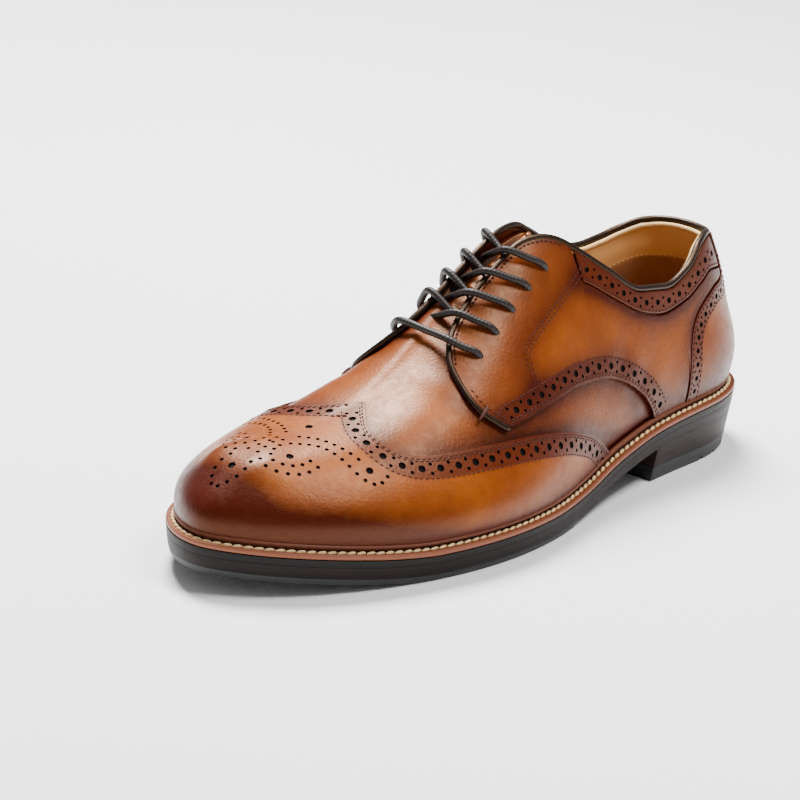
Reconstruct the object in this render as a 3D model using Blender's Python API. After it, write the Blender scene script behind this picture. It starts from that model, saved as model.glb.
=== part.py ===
"""Left brogue shoe: wingtip derby on a storm welt, modelled on its last.

The toe points along +X, the wearer's left (the lateral side) is +Y, and the floor is z = 0.
The last's skin is worked out first, from the driving sizes and short tables of stations along
the length. Every piece of the upper is a patch of that skin. The sole's layers follow the same
outline and the same side profile.
"""

import math

import bmesh
import bpy
import numpy as np
from mathutils import Vector

MM = 0.001

# Driving sizes
LENGTH = 305 * MM  # sole, heel to toe
BALL_WIDTH = 108 * MM  # sole across the ball
HEEL_HEIGHT = 26.5 * MM  # floor to the top of the welt at the heel
TOE_SPRING = 8 * MM
INSTEP_RISE = 92 * MM  # welt to the last's instep
CLEARANCE = 0.3 * MM  # between pieces that touch on the real shoe

# Sole layers and welt
WELT_THICKNESS = 2.0 * MM
MIDSOLE_THICKNESS = 2.8 * MM
OUTSOLE_THICKNESS = 4.6 * MM
RUBBER_THICKNESS = 2.2 * MM
WELT_LEDGE = 3.5 * MM
RIB_THICKNESS = 2.2 * MM
RIB_HEIGHT = 3.2 * MM
LIFT_THICKNESS = 6.0 * MM
LIFT_GROOVE = 2.0 * MM
HEEL_BREAST = 0.262  # share of the length
RUBBER_REAR = 0.47  # share of the length
MIDSOLE_INSET = 0.3 * MM  # at its lower edge, and so on down the sole
OUTSOLE_INSET = 0.9 * MM
RUBBER_INSET = 1.6 * MM
HEEL_SETBACK = 1.0 * MM  # heel block's top, inside the outsole's edge
HEEL_TAPER = 2.2 * MM
HEEL_BACK_TAPER = 3.0 * MM
HEEL_BACK = 0.06  # station where the back's extra taper has run out
BLOCK_SHARE = 0.6  # share of the heel's taper that its block has
LIFT_GROOVES = (0.07, 0.105, 0.14)  # stations of the grooves under the top lift
EDGE_STEP = 0.5 * MM

# Upper, tongue and lace
UPPER_WALL = 2.0 * MM
COLLAR_PADDING = 2.2 * MM
COLLAR_FADE = 0.03  # share of the length over which the padding runs out, behind the tongue
INSOLE_THICKNESS = 2.5 * MM
OVERLAY_GAP = 0.7 * MM
OVERLAY_THICKNESS = 1.3 * MM
PIPING_RADIUS = 1.7 * MM
SLOT_SETBACK = 0.045  # share of the skin's height between facing edge and the shell under it
TONGUE_DEPTH = 3.8 * MM
TONGUE_THICKNESS = 2.6 * MM
LACE_RADIUS = 1.5 * MM
EYELET_RADIUS = 2.0 * MM
SEAM_GAP = 0.008  # share of the skin's height between two overlays that meet

SOLE_STACK = WELT_THICKNESS + MIDSOLE_THICKNESS + OUTSOLE_THICKNESS + RUBBER_THICKNESS + 2 * CLEARANCE
WELT_WIDTH = WELT_LEDGE + RIB_THICKNESS + CLEARANCE

# Half widths of the sole as shares of the ball width
SOLE_PLAN = {
    "station": (0, 0.03, 0.06, 0.12, 0.20, 0.30, 0.40, 0.50, 0.60, 0.72, 0.80, 0.88, 0.94, 0.98, 1),
    "lateral": (0, 0.204, 0.264, 0.32, 0.34, 0.366, 0.41, 0.477, 0.514, 0.486, 0.426, 0.33, 0.22, 0.1, -0.04),
    "medial": (0, 0.204, 0.264, 0.315, 0.32, 0.282, 0.245, 0.27, 0.366, 0.48, 0.486, 0.42, 0.32, 0.2, 0.04),
}

# Side profile of the sole: shares of the heel's rise over the forefoot and of the toe spring
SIDE_PROFILE = {
    "station": (0, 0.12, 0.25, 0.35, 0.45, 0.54, 0.74, 0.80, 0.86, 0.93, 1),
    "heel": (1, 0.985, 0.85, 0.53, 0.12, 0, 0, 0, 0, 0, 0),
    "spring": (0, 0, 0, 0, 0, 0, 0, 0.14, 0.40, 0.72, 1),
}

# The last's skin at each station. Out: share of the ball width beyond the welt line. Rise: share
# of the instep's rise. Lat and med: share of the half width. Back: share of the length.
LAST = {
    "station": (0, 0.06, 0.15, 0.27, 0.40, 0.50, 0.60, 0.70, 0.80, 0.88, 0.95, 1),
    "side_out_lat": (0.022, 0.022, 0.020, 0.010, 0.010, 0.020, 0.030, 0.030, 0.025, 0.020, 0.010, 0.004),
    "side_out_med": (0.022, 0.022, 0.015, -0.020, -0.030, -0.010, 0.020, 0.035, 0.030, 0.020, 0.010, 0.004),
    "side_rise": (0.16, 0.16, 0.16, 0.15, 0.14, 0.14, 0.13, 0.12, 0.12, 0.11, 0.10, 0.10),
    "shoulder_lat": (1, 0.95, 0.92, 0.86, 0.82, 0.80, 0.80, 0.80, 0.82, 0.83, 0.83, 1),
    "shoulder_med": (1, 0.95, 0.92, 0.92, 0.95, 0.90, 0.84, 0.82, 0.82, 0.83, 0.83, 1),
    "shoulder_rise": (0.38, 0.38, 0.40, 0.45, 0.48, 0.46, 0.40, 0.34, 0.285, 0.24, 0.22, 0.21),
    "shoulder_back": (-0.014, -0.008, 0, 0, 0.010, 0.010, 0.010, 0.010, 0.012, 0.014, 0.020, 0.032),
    "crown_lat": (1, 0.74, 0.66, 0.52, 0.44, 0.42, 0.43, 0.45, 0.47, 0.48, 0.48, 1),
    "crown_med": (1, 0.74, 0.69, 0.60, 0.56, 0.50, 0.46, 0.46, 0.47, 0.48, 0.48, 1),
    "crown_rise": (0.66, 0.68, 0.75, 0.84, 0.86, 0.79, 0.64, 0.495, 0.39, 0.33, 0.30, 0.285),
    "crown_back": (-0.050, -0.032, -0.006, 0.005, 0.015, 0.018, 0.022, 0.025, 0.028, 0.035, 0.050, 0.072),
    "ridge_rise": (0.93, 0.97, 1.04, 1.12, 1.09, 0.965, 0.76, 0.57, 0.43, 0.36, 0.325, 0.31),
    "ridge_back": (-0.085, -0.055, -0.018, 0.010, 0.022, 0.028, 0.034, 0.040, 0.046, 0.056, 0.086, 0.112),
    "ridge_side": (0, 0, -0.01, -0.02, -0.03, -0.03, -0.02, -0.01, -0.01, -0.01, -0.02, -0.037),
}
# Points along one side of the welt and of the upper, so that their facets match
RING_POINTS = 35

# Heights of the skin's levels: welt line, side, shoulder, crown, ridge
LEVELS = (0, 0.20, 0.48, 0.76, 1)

# Cut lines on the skin, as heights from 0 at the welt line to 1 at the ridge
TOPLINE = {  # collar, then the edge of the lace facing
    "station": (0, 0.06, 0.12, 0.17, 0.22, 0.27, 0.345, 0.385, 0.415, 0.44, 0.48, 0.56, 0.60, 0.63, 0.648),
    "lateral": (0.765, 0.76, 0.72, 0.65, 0.6, 0.59, 0.69, 0.768, 0.832, 0.87, 0.9, 0.905, 0.893, 0.86, 0.79),
    "medial": (0.765, 0.765, 0.745, 0.7, 0.655, 0.64, 0.72, 0.78, 0.836, 0.87, 0.9, 0.905, 0.893, 0.86, 0.79),
}
QUARTER_FOOT = {  # lower edge of the quarter, from the counter to its front corner
    "station": (0.20, 0.252, 0.262, 0.275, 0.297, 0.337, 0.396, 0.456, 0.52, 0.60, 0.622, 0.638, 0.648),
    "height": (0, 0, 0.05, 0.14, 0.245, 0.338, 0.408, 0.440, 0.448, 0.458, 0.515, 0.580, 0.68),
}
COUNTER_EDGE = {
    "station": (0, 0.045, 0.055, 0.075, 0.106, 0.135, 0.158, 0.172, 0.182, 0.188),
    "height": (1, 1, 0.64, 0.615, 0.59, 0.545, 0.490, 0.430, 0.340, 0.20),
}
BAND_FOOT = {  # lower edge of the perforated strip below the collar
    "station": (0.045, 0.106, 0.15, 0.18, 0.235, 0.265, 0.337, 0.385, 0.40),
    "lateral": (0.675, 0.665, 0.605, 0.555, 0.512, 0.522, 0.606, 0.685, 0.71),
    "medial": (0.675, 0.675, 0.645, 0.610, 0.565, 0.565, 0.637, 0.700, 0.72),
}
WING_EDGE = {  # tips of the wings to the peak on the ridge
    "station": (0.371, 0.4, 0.43, 0.456, 0.5, 0.587, 0.655, 0.719, 0.755, 0.778, 0.790, 0.797, 0.803, 0.809),
    "height": (0.060, 0.185, 0.262, 0.298, 0.345, 0.405, 0.442, 0.482, 0.522, 0.575, 0.64, 0.71, 0.80, 0.985),
}
EYELET_ROW = {
    "station": (0.604, 0.565, 0.526, 0.487, 0.448),
    "height": (0.744, 0.757, 0.768, 0.779, 0.790),
}
BAND_REAR = 0.060  # station where the collar band meets the counter's tab
BAND_FRONT = 0.395  # station where the collar band ends at the facing
THROAT = 0.585  # station where the shell under the facings closes over the vamp
TONGUE_FRONT = 0.63
TONGUE_TOP = 0.385
TONGUE_EDGE = 0.74  # height of the tongue's edges on the skin
TONGUE_ROUND = 0.028  # share of the length that the top corners are rounded back
TONGUE_DROP = 2.5 * MM  # how much flatter than the last the tongue's top lies
WING_PEAK = 0.034  # share of the length that the toe cap's peak reaches back on the ridge
WING_PEAK_END = 0.90  # station where the peak's pull has run out

# A lace strand from its eyelet over the gap and under the other facing. Forward: share of the way
# to the next eyelet. Height on the skin, on the strand's own side where own is 1. Rise: 0 on the
# tongue and 1 on the crest over the piping, for the strand on top and for the one under it.
LACE_ROUTE = {
    "forward": (0.05, 0.10, 0.145, 0.20, 0.26, 0.325, 0.38, 0.415),
    "height": (0.82, 0.875, 0.915, 0.955, 1, 0.975, 0.962, 0.952),
    "own": (1, 1, 1, 1, 1, 0, 0, 0),
    "rise_over": (0.76, 0.975, 1.02, 0.92, 0.87, 0.42, 0.15, 0),
    "rise_under": (0.76, 0.975, 1.02, 0.92, 0.64, 0.31, 0.15, 0),
}


# Colour and roughness of each kind of finish
FINISHES = {
    "leather": ((0.46, 0.13, 0.02), 0.35),
    "welt": ((0.45, 0.16, 0.06), 0.6),
    "edge": ((0.03, 0.02, 0.02), 0.5),
    "stack": ((0.06, 0.03, 0.025), 0.5),
    "rubber": ((0.015, 0.015, 0.016), 0.7),
    "lining": ((0.55, 0.33, 0.13), 0.6),
    "piping": ((0.03, 0.02, 0.02), 0.3),
    "lace": ((0.03, 0.02, 0.018), 0.6),
}


# Interpolation
def smooth(x, xs, ys):
    """Read a cubic spline through a table, flat at both ends of the table."""
    x = np.atleast_1d(np.asarray(x, float))
    xs = np.asarray(xs, float)
    ys = np.asarray(ys, float)
    count = len(xs)
    step = np.diff(xs)
    rise = np.diff(ys, axis=0) / step.reshape((-1,) + (1,) * (ys.ndim - 1))
    matrix = np.zeros((count, count))
    right = np.zeros(ys.shape)
    matrix[0, :2] = 2 * step[0], step[0]
    matrix[-1, -2:] = step[-1], 2 * step[-1]
    right[0] = 6 * rise[0]
    right[-1] = -6 * rise[-1]
    for i in range(1, count - 1):
        matrix[i, i - 1 : i + 2] = step[i - 1], 2 * (step[i - 1] + step[i]), step[i]
        right[i] = 6 * (rise[i] - rise[i - 1])
    bend = np.linalg.solve(matrix, right.reshape(count, -1)).reshape(ys.shape)
    return cubic_pieces(x, xs, ys, bend)


def natural(x, xs, ys):
    """Read a cubic spline through a table, unbent at both ends of the table."""
    x = np.atleast_1d(np.asarray(x, float))
    xs = np.asarray(xs, float)
    ys = np.asarray(ys, float)
    count = len(xs)
    step = np.diff(xs)
    rise = np.diff(ys, axis=0) / step.reshape((-1,) + (1,) * (ys.ndim - 1))
    matrix = np.eye(count)
    right = np.zeros(ys.shape)
    for i in range(1, count - 1):
        matrix[i, i - 1 : i + 2] = step[i - 1], 2 * (step[i - 1] + step[i]), step[i]
        right[i] = 6 * (rise[i] - rise[i - 1])
    bend = np.linalg.solve(matrix, right.reshape(count, -1)).reshape(ys.shape)
    return cubic_pieces(x, xs, ys, bend)


def cubic_pieces(x, xs, ys, bend):
    """Value of the cubic with second derivatives bend at the knots."""
    k = np.clip(np.searchsorted(xs, x) - 1, 0, len(xs) - 2)
    wide = (slice(None),) + (None,) * (ys.ndim - 1)
    after = (x - xs[k])[wide]
    before = (xs[k + 1] - x)[wide]
    step = (xs[k + 1] - xs[k])[wide]
    curve = (bend[k] * before**3 + bend[k + 1] * after**3) / (6 * step)
    line = (ys[k] / step - bend[k] * step / 6) * before + (ys[k + 1] / step - bend[k + 1] * step / 6) * after
    return curve + line


def steady(x, xs, ys):
    """Read a table without overshoot, for steps and edges."""
    x = np.atleast_1d(np.asarray(x, float))
    xs = np.asarray(xs, float)
    ys = np.asarray(ys, float)
    step = np.diff(xs)
    rise = np.diff(ys) / step
    slope = np.zeros(len(xs))
    for i in range(1, len(xs) - 1):
        if rise[i - 1] * rise[i] > 0:
            slope[i] = 2 / (1 / rise[i - 1] + 1 / rise[i])
    slope[0], slope[-1] = rise[0], rise[-1]
    k = np.clip(np.searchsorted(xs, x) - 1, 0, len(xs) - 2)
    t = np.clip((x - xs[k]) / step[k], 0, 1)
    level = ys[k] * (1 + 2 * t) * (1 - t) ** 2 + ys[k + 1] * t * t * (3 - 2 * t)
    return level + step[k] * (slope[k] * t * (1 - t) ** 2 - slope[k + 1] * t * t * (1 - t))


# The turn runs from 0 at the heel to pi at the toe, positive on the lateral side.
def turn_of(station):
    """Turn of a station along the length."""
    return np.arccos(1 - 2 * np.asarray(station, float))


def station_of(turn):
    """Station along the length of a turn."""
    return (1 - np.cos(np.asarray(turn, float))) / 2


def wrapped(turns):
    """Signed turns brought back between -pi and pi."""
    return (np.asarray(turns, float) + math.pi) % (2 * math.pi) - math.pi


def outline(inset, turns):
    """Points of the sole's outline moved inward, at signed turns."""
    fine = np.linspace(-math.pi, math.pi, 1081)
    knots = turn_of(SOLE_PLAN["station"])
    lateral = np.array(SOLE_PLAN["lateral"])
    medial = np.array(SOLE_PLAN["medial"])
    before = slice(-4, -1)
    after = slice(-2, -5, -1)
    full = 2 * math.pi
    loop_knots = np.concatenate([knots[before] - full, -knots[::-1], knots[1:], full - knots[after]])
    loop = np.concatenate([lateral[before], -medial[::-1], lateral[1:], -medial[after]])
    x = LENGTH * station_of(fine)
    y = BALL_WIDTH * natural(fine, loop_knots, loop)
    dx = np.gradient(x)
    dy = np.gradient(y)
    run = np.hypot(dx, dy) + 1e-12
    px = np.interp(turns, fine, x) + inset * np.interp(turns, fine, dy / run)
    py = np.interp(turns, fine, y) - inset * np.interp(turns, fine, dx / run)
    return np.stack([px, py], -1)


def outward(turns):
    """Outward direction of the outline in plan, at signed turns."""
    step = 0.004
    along = outline(0, wrapped(turns + step)) - outline(0, wrapped(turns - step))
    along /= np.linalg.norm(along, axis=1)[:, None]
    return np.stack([-along[:, 1], along[:, 0]], -1)


def welt_top(x):
    """Height of the welt's top above the floor, at a place along the shoe."""
    station = np.clip(np.asarray(x, float) / LENGTH, 0, 1)
    heel = steady(station, SIDE_PROFILE["station"], SIDE_PROFILE["heel"])
    spring = steady(station, SIDE_PROFILE["station"], SIDE_PROFILE["spring"])
    return SOLE_STACK + (HEEL_HEIGHT - SOLE_STACK) * heel + TOE_SPRING * spring


def last_column(name, stations):
    """One column of the last's table."""
    return smooth(turn_of(stations), turn_of(LAST["station"]), LAST[name])


def last_levels(turns):
    """Five points of the skin at each signed turn, from the welt line to the ridge."""
    stations = station_of(turns)
    lateral = turns >= 0
    foot = outline(WELT_WIDTH, turns)
    away = outward(turns)
    base = welt_top(foot[:, 0])
    ridge_y = BALL_WIDTH * last_column("ridge_side", stations)
    points = np.zeros((len(turns), 5, 3))
    points[:, 0, :2] = foot
    points[:, 0, 2] = base
    out = np.where(lateral, last_column("side_out_lat", stations), last_column("side_out_med", stations))
    points[:, 1, :2] = foot + away * (out * BALL_WIDTH)[:, None]
    points[:, 1, 2] = base + INSTEP_RISE * last_column("side_rise", stations)
    for level, name in ((2, "shoulder"), (3, "crown")):
        share = np.where(lateral, last_column(name + "_lat", stations), last_column(name + "_med", stations))
        points[:, level, 0] = foot[:, 0] - LENGTH * last_column(name + "_back", stations)
        points[:, level, 1] = ridge_y + (foot[:, 1] - ridge_y) * share
        points[:, level, 2] = base + INSTEP_RISE * last_column(name + "_rise", stations)
    points[:, 4, 0] = foot[:, 0] - LENGTH * last_column("ridge_back", stations)
    points[:, 4, 1] = ridge_y
    points[:, 4, 2] = base + INSTEP_RISE * last_column("ridge_rise", stations)
    return points


def skin(turns, heights):
    """Points of the last's skin at signed turns and heights."""
    turns, heights = np.broadcast_arrays(np.asarray(turns, float), np.asarray(heights, float))
    shape = turns.shape
    turns = wrapped(turns.ravel())
    this_side = last_levels(turns)
    other_side = last_levels(-turns)
    other_side[:, 4] = this_side[:, 4]
    section = np.concatenate([this_side, other_side[:, 3::-1]], axis=1)
    knots = np.concatenate([LEVELS, 2 - np.array(LEVELS[3::-1])])
    weights = natural(heights.ravel(), knots, np.eye(9))
    return np.einsum("nk,nkc->nc", weights, section).reshape(shape + (3,))


def skin_normal(turns, heights):
    """Outward unit normals of the skin. At the toe they are read just below the ridge's end."""
    turns, heights = np.broadcast_arrays(np.asarray(turns, float), np.asarray(heights, float))
    step = 0.01
    heights = np.where(np.abs(turns) > turn_of(0.97), np.minimum(heights, 0.96), heights)
    along = skin(turns + step, heights) - skin(turns - step, heights)
    up = skin(turns, heights + step) - skin(turns, heights - step)
    normal = np.cross(along, up)
    normal /= np.linalg.norm(normal, axis=-1)[..., None] + 1e-12
    return -normal


def raised(turns, heights, lift):
    """Points at a distance outside the skin."""
    lift = np.asarray(lift, float)
    return skin(turns, heights) + skin_normal(turns, heights) * lift[..., None]


# Meshes
def new_object(name, vertices, faces, kind, parts):
    """Object from vertices and faces, welded, with its normals pointing out."""
    mesh = bpy.data.meshes.new(name)
    mesh.from_pydata([tuple(v) for v in vertices], [], faces)
    shape = bmesh.new()
    shape.from_mesh(mesh)
    bmesh.ops.remove_doubles(shape, verts=shape.verts, dist=1e-6)
    bmesh.ops.dissolve_degenerate(shape, edges=shape.edges, dist=1e-7)
    bmesh.ops.recalc_face_normals(shape, faces=shape.faces)
    shape.to_mesh(mesh)
    shape.free()
    mesh.shade_smooth()
    mesh.set_sharp_from_angle(angle=math.radians(40))
    thing = bpy.data.objects.new(name, mesh)
    thing.data.materials.append(finish(name, kind))
    parts.objects.link(thing)
    return thing


def shell(name, turns, heights, outer, inner, kind, parts, ring=False, ridge=None, foot_z=None):
    """Closed shell from two grids of lifts over the skin.

    turns and heights are grids (columns, rows). With ring, the last column joins the first.
    ridge marks the columns whose top row lies on the ridge, where both sides join. foot_z is the
    height of each column's lowest row, where it stands on a layer of the sole.
    """
    columns, rows = turns.shape
    outside = raised(turns, heights, outer).reshape(-1, 3)
    inside = raised(turns, heights, inner).reshape(-1, 3)
    if foot_z is not None:
        outside[::rows, 2] = foot_z
        inside[::rows, 2] = foot_z
    if ridge is not None:
        for points in (outside, inside):
            meet_on_ridge(points, rows, np.flatnonzero(ridge), columns if ring else columns - 1)
    offset = columns * rows
    faces = []
    last = columns if ring else columns - 1
    for j in range(last):
        k = (j + 1) % columns
        for i in range(rows - 1):
            a, b, c, d = j * rows + i, k * rows + i, k * rows + i + 1, j * rows + i + 1
            faces.append((a, b, c, d))
            faces.append((a + offset, d + offset, c + offset, b + offset))
        foot, foot_next = j * rows, k * rows
        faces.append((foot, foot + offset, foot_next + offset, foot_next))
        if ridge is None or not (ridge[j] and ridge[k]):
            top, top_next = j * rows + rows - 1, k * rows + rows - 1
            faces.append((top, top_next, top_next + offset, top + offset))
    if not ring:
        for j in (0, columns - 1):
            for i in range(rows - 1):
                a, b = j * rows + i, j * rows + i + 1
                faces.append((a, b, b + offset, a + offset))
    return new_object(name, np.concatenate([outside, inside]), faces, kind, parts)


def meet_on_ridge(points, rows, ridge_columns, mirror):
    """Bring the top points of both sides together, so that they weld."""
    tops = {j: points[j * rows + rows - 1].copy() for j in ridge_columns}
    for j, own in tops.items():
        points[j * rows + rows - 1] = (own + tops[mirror - j]) / 2


def patch(name, stations, foot, head, side, rows, kind, parts):
    """Overlay on one side between two heights at each station."""
    turns = side * np.repeat(turn_of(stations)[:, None], rows, 1)
    share = np.linspace(0, 1, rows)[None, :]
    heights = foot[:, None] * (1 - share) + head[:, None] * share
    outer = np.full(turns.shape, OVERLAY_GAP + OVERLAY_THICKNESS)
    inner = np.full(turns.shape, OVERLAY_GAP)
    return shell(name, turns, heights, outer, inner, kind, parts)


def plate(name, inset, top, bottom, first, final, count, kind, parts, bottom_inset=None):
    """Layer of the sole between two heights, over a stretch of the length."""
    under = inset if bottom_inset is None else bottom_inset
    turns = np.linspace(turn_of(first), turn_of(final), count)
    closed_rear = first == 0
    closed_front = final == 1
    side_turns = turns[1 if closed_rear else 0 : -1 if closed_front else None]
    loop = list(side_turns)
    if closed_front:
        loop += [math.pi]
    loop += list(-side_turns[::-1])
    if closed_rear:
        loop += [0.0]
    loop = np.array(loop)
    upper = outline(inset(loop) if callable(inset) else inset, loop)
    lower = outline(under(loop) if callable(under) else under, loop)
    vertices = [(x, y, z) for (x, y), z in zip(upper, top(upper[:, 0]))]
    vertices += [(x, y, z) for (x, y), z in zip(lower, bottom(lower[:, 0]))]
    number = len(loop)
    faces = [(i, (i + 1) % number, (i + 1) % number + number, i + number) for i in range(number)]
    side = len(side_turns)
    far = number - 1 - (1 if closed_rear else 0)
    for i in range(side - 1):
        faces.append((i, far - i, far - i - 1, i + 1))
        faces.append((i + number, i + 1 + number, far - i - 1 + number, far - i + number))
    if closed_front:
        faces.append((side - 1, side + 1, side))
        faces.append((side - 1 + number, side + number, side + 1 + number))
    if closed_rear:
        faces.append((0, number - 1, number - 2))
        faces.append((number, 2 * number - 2, 2 * number - 1))
    return new_object(name, vertices, faces, kind, parts)


def tube(name, points, radius, kind, parts):
    """Round tube along points, as a mesh from a bevelled curve."""
    data = bpy.data.curves.new(name + "_path", "CURVE")
    data.dimensions = "3D"
    data.bevel_depth = radius
    data.bevel_resolution = 2
    data.use_fill_caps = True
    data.resolution_u = 1
    spline = data.splines.new("POLY")
    spline.points.add(len(points) - 1)
    for spot, point in zip(spline.points, points):
        spot.co = (point[0], point[1], point[2], 1)
    guide = bpy.data.objects.new(name + "_path", data)
    parts.objects.link(guide)
    bpy.context.view_layer.update()
    graph = bpy.context.evaluated_depsgraph_get()
    mesh = bpy.data.meshes.new_from_object(guide.evaluated_get(graph))
    shape = bmesh.new()
    shape.from_mesh(mesh)
    bmesh.ops.remove_doubles(shape, verts=shape.verts, dist=1e-6)
    bmesh.ops.recalc_face_normals(shape, faces=shape.faces)
    shape.to_mesh(mesh)
    shape.free()
    mesh.name = name
    mesh.materials.clear()
    mesh.materials.append(finish(name, kind))
    mesh.shade_smooth()
    mesh.set_sharp_from_angle(angle=math.radians(50))
    thing = bpy.data.objects.new(name, mesh)
    thing.matrix_world = guide.matrix_world
    parts.objects.link(thing)
    bpy.data.objects.remove(guide, do_unlink=True)
    return thing


def cut(thing, cutters, name, holder):
    """Boolean difference of a joined set of closed cutters."""
    mesh = bpy.data.meshes.new(name)
    joined = bmesh.new()
    for cutter in cutters:
        joined.from_mesh(cutter)
    joined.to_mesh(mesh)
    joined.free()
    tool = bpy.data.objects.new(name, mesh)
    tool.hide_render = True
    tool.display_type = "WIRE"
    holder.objects.link(tool)
    step = thing.modifiers.new("cut", "BOOLEAN")
    step.operation = "DIFFERENCE"
    step.solver = "EXACT"
    step.object = tool
    return tool


def rod_mesh(centre, direction, radius, length, sides):
    """Closed cylinder mesh along a direction."""
    shape = bmesh.new()
    bmesh.ops.create_cone(shape, cap_ends=True, segments=sides, radius1=radius, radius2=radius, depth=length)
    turn = Vector((0, 0, 1)).rotation_difference(Vector(direction)).to_matrix().to_4x4()
    bmesh.ops.transform(shape, matrix=turn, verts=shape.verts)
    bmesh.ops.translate(shape, vec=Vector(centre), verts=shape.verts)
    mesh = bpy.data.meshes.new("rod")
    shape.to_mesh(mesh)
    shape.free()
    return mesh


def box_mesh(centre, size):
    """Closed box mesh."""
    shape = bmesh.new()
    bmesh.ops.create_cube(shape, size=1)
    bmesh.ops.scale(shape, vec=Vector(size), verts=shape.verts)
    bmesh.ops.translate(shape, vec=Vector(centre), verts=shape.verts)
    mesh = bpy.data.meshes.new("box")
    shape.to_mesh(mesh)
    shape.free()
    return mesh


def finish(node, kind):
    """Principled material of one sub-part, with a plain colour."""
    colour, roughness = FINISHES[kind]
    material = bpy.data.materials.new(node + "_" + kind)
    material.use_nodes = True
    shader = material.node_tree.nodes["Principled BSDF"]
    shader.inputs["Base Color"].default_value = (*colour, 1)
    shader.inputs["Roughness"].default_value = roughness
    shader.inputs["Metallic"].default_value = 0
    material.diffuse_color = (*colour, 1)
    return material


# Cut lines
def topline(stations, side):
    """Height of the collar and of the facing's edge."""
    name = "lateral" if side > 0 else "medial"
    return steady(stations, TOPLINE["station"], TOPLINE[name])


def band_foot(stations, side):
    """Height of the lower edge of the collar band."""
    name = "lateral" if side > 0 else "medial"
    return steady(stations, BAND_FOOT["station"], BAND_FOOT[name])


def height_above_welt(turns, rise):
    """Height on the skin, at signed turns, that lies a real rise above the welt line."""
    steps = np.linspace(0, LEVELS[1], 9)
    grid = np.repeat(np.asarray(turns, float)[:, None], len(steps), 1)
    columns = skin(grid, np.broadcast_to(steps, grid.shape))[..., 2]
    return np.array([np.interp(rise, column - column[0], steps) for column in columns])


def low_edge(turns):
    """Height of the overlays' lowest edge, just above the welt's rib."""
    return height_above_welt(turns, RIB_HEIGHT + 3 * CLEARANCE)


def ring_turns(count):
    """Signed turns round the whole outline, from the heel over the toe and back."""
    side = np.linspace(0, math.pi, count)
    return np.concatenate([side, -side[-2:0:-1]])


# Pieces of the sole
def build_sole(parts, cutters):
    """Welt, midsole, outsole, rubber, heel and insole."""
    welt_under = WELT_THICKNESS + CLEARANCE
    midsole_under = welt_under + MIDSOLE_THICKNESS
    outsole_top = midsole_under + CLEARANCE
    outsole_under = outsole_top + OUTSOLE_THICKNESS - CLEARANCE

    build_welt(parts)
    plate(
        "midsole",
        0.0,
        lambda x: welt_top(x) - welt_under,
        lambda x: welt_top(x) - midsole_under,
        0,
        1,
        33,
        "edge",
        parts,
        bottom_inset=MIDSOLE_INSET,
    )
    plate(
        "outsole",
        MIDSOLE_INSET,
        lambda x: welt_top(x) - outsole_top,
        lambda x: welt_top(x) - outsole_under,
        0,
        1,
        33,
        "stack",
        parts,
        bottom_inset=OUTSOLE_INSET,
    )
    plate(
        "sole_rubber",
        OUTSOLE_INSET,
        lambda x: welt_top(x) - outsole_under - CLEARANCE,
        lambda x: np.maximum(welt_top(x) - SOLE_STACK, 0),
        RUBBER_REAR,
        1,
        21,
        "rubber",
        parts,
        bottom_inset=RUBBER_INSET,
    )

    def heel_inset(share):
        """Inset of the heel's side a share of the way down, more at its back."""

        def inset(turns):
            back = np.clip(1 - np.abs(turns) / turn_of(HEEL_BACK), 0, 1)
            return HEEL_SETBACK + share * (HEEL_TAPER + HEEL_BACK_TAPER * back)

        return inset

    plate(
        "heel_block",
        HEEL_SETBACK,
        lambda x: welt_top(x) - outsole_under - CLEARANCE,
        lambda x: 0 * x + LIFT_THICKNESS + CLEARANCE,
        0,
        HEEL_BREAST,
        13,
        "stack",
        parts,
        bottom_inset=heel_inset(BLOCK_SHARE),
    )
    lift = plate(
        "heel_top_lift",
        heel_inset(BLOCK_SHARE),
        lambda x: 0 * x + LIFT_THICKNESS,
        lambda x: 0 * x,
        0,
        HEEL_BREAST,
        13,
        "rubber",
        parts,
        bottom_inset=heel_inset(1),
    )
    size = (LIFT_GROOVE, BALL_WIDTH, LIFT_GROOVE)
    grooves = [box_mesh((LENGTH * station, 0, 0), size) for station in LIFT_GROOVES]
    cut(lift, grooves, "lift_grooves", cutters)
    plate(
        "insole",
        WELT_WIDTH + UPPER_WALL + 5 * CLEARANCE,
        lambda x: welt_top(x) - welt_under + CLEARANCE + INSOLE_THICKNESS,
        lambda x: welt_top(x) - welt_under + CLEARANCE,
        0,
        1,
        25,
        "lining",
        parts,
    )


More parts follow.
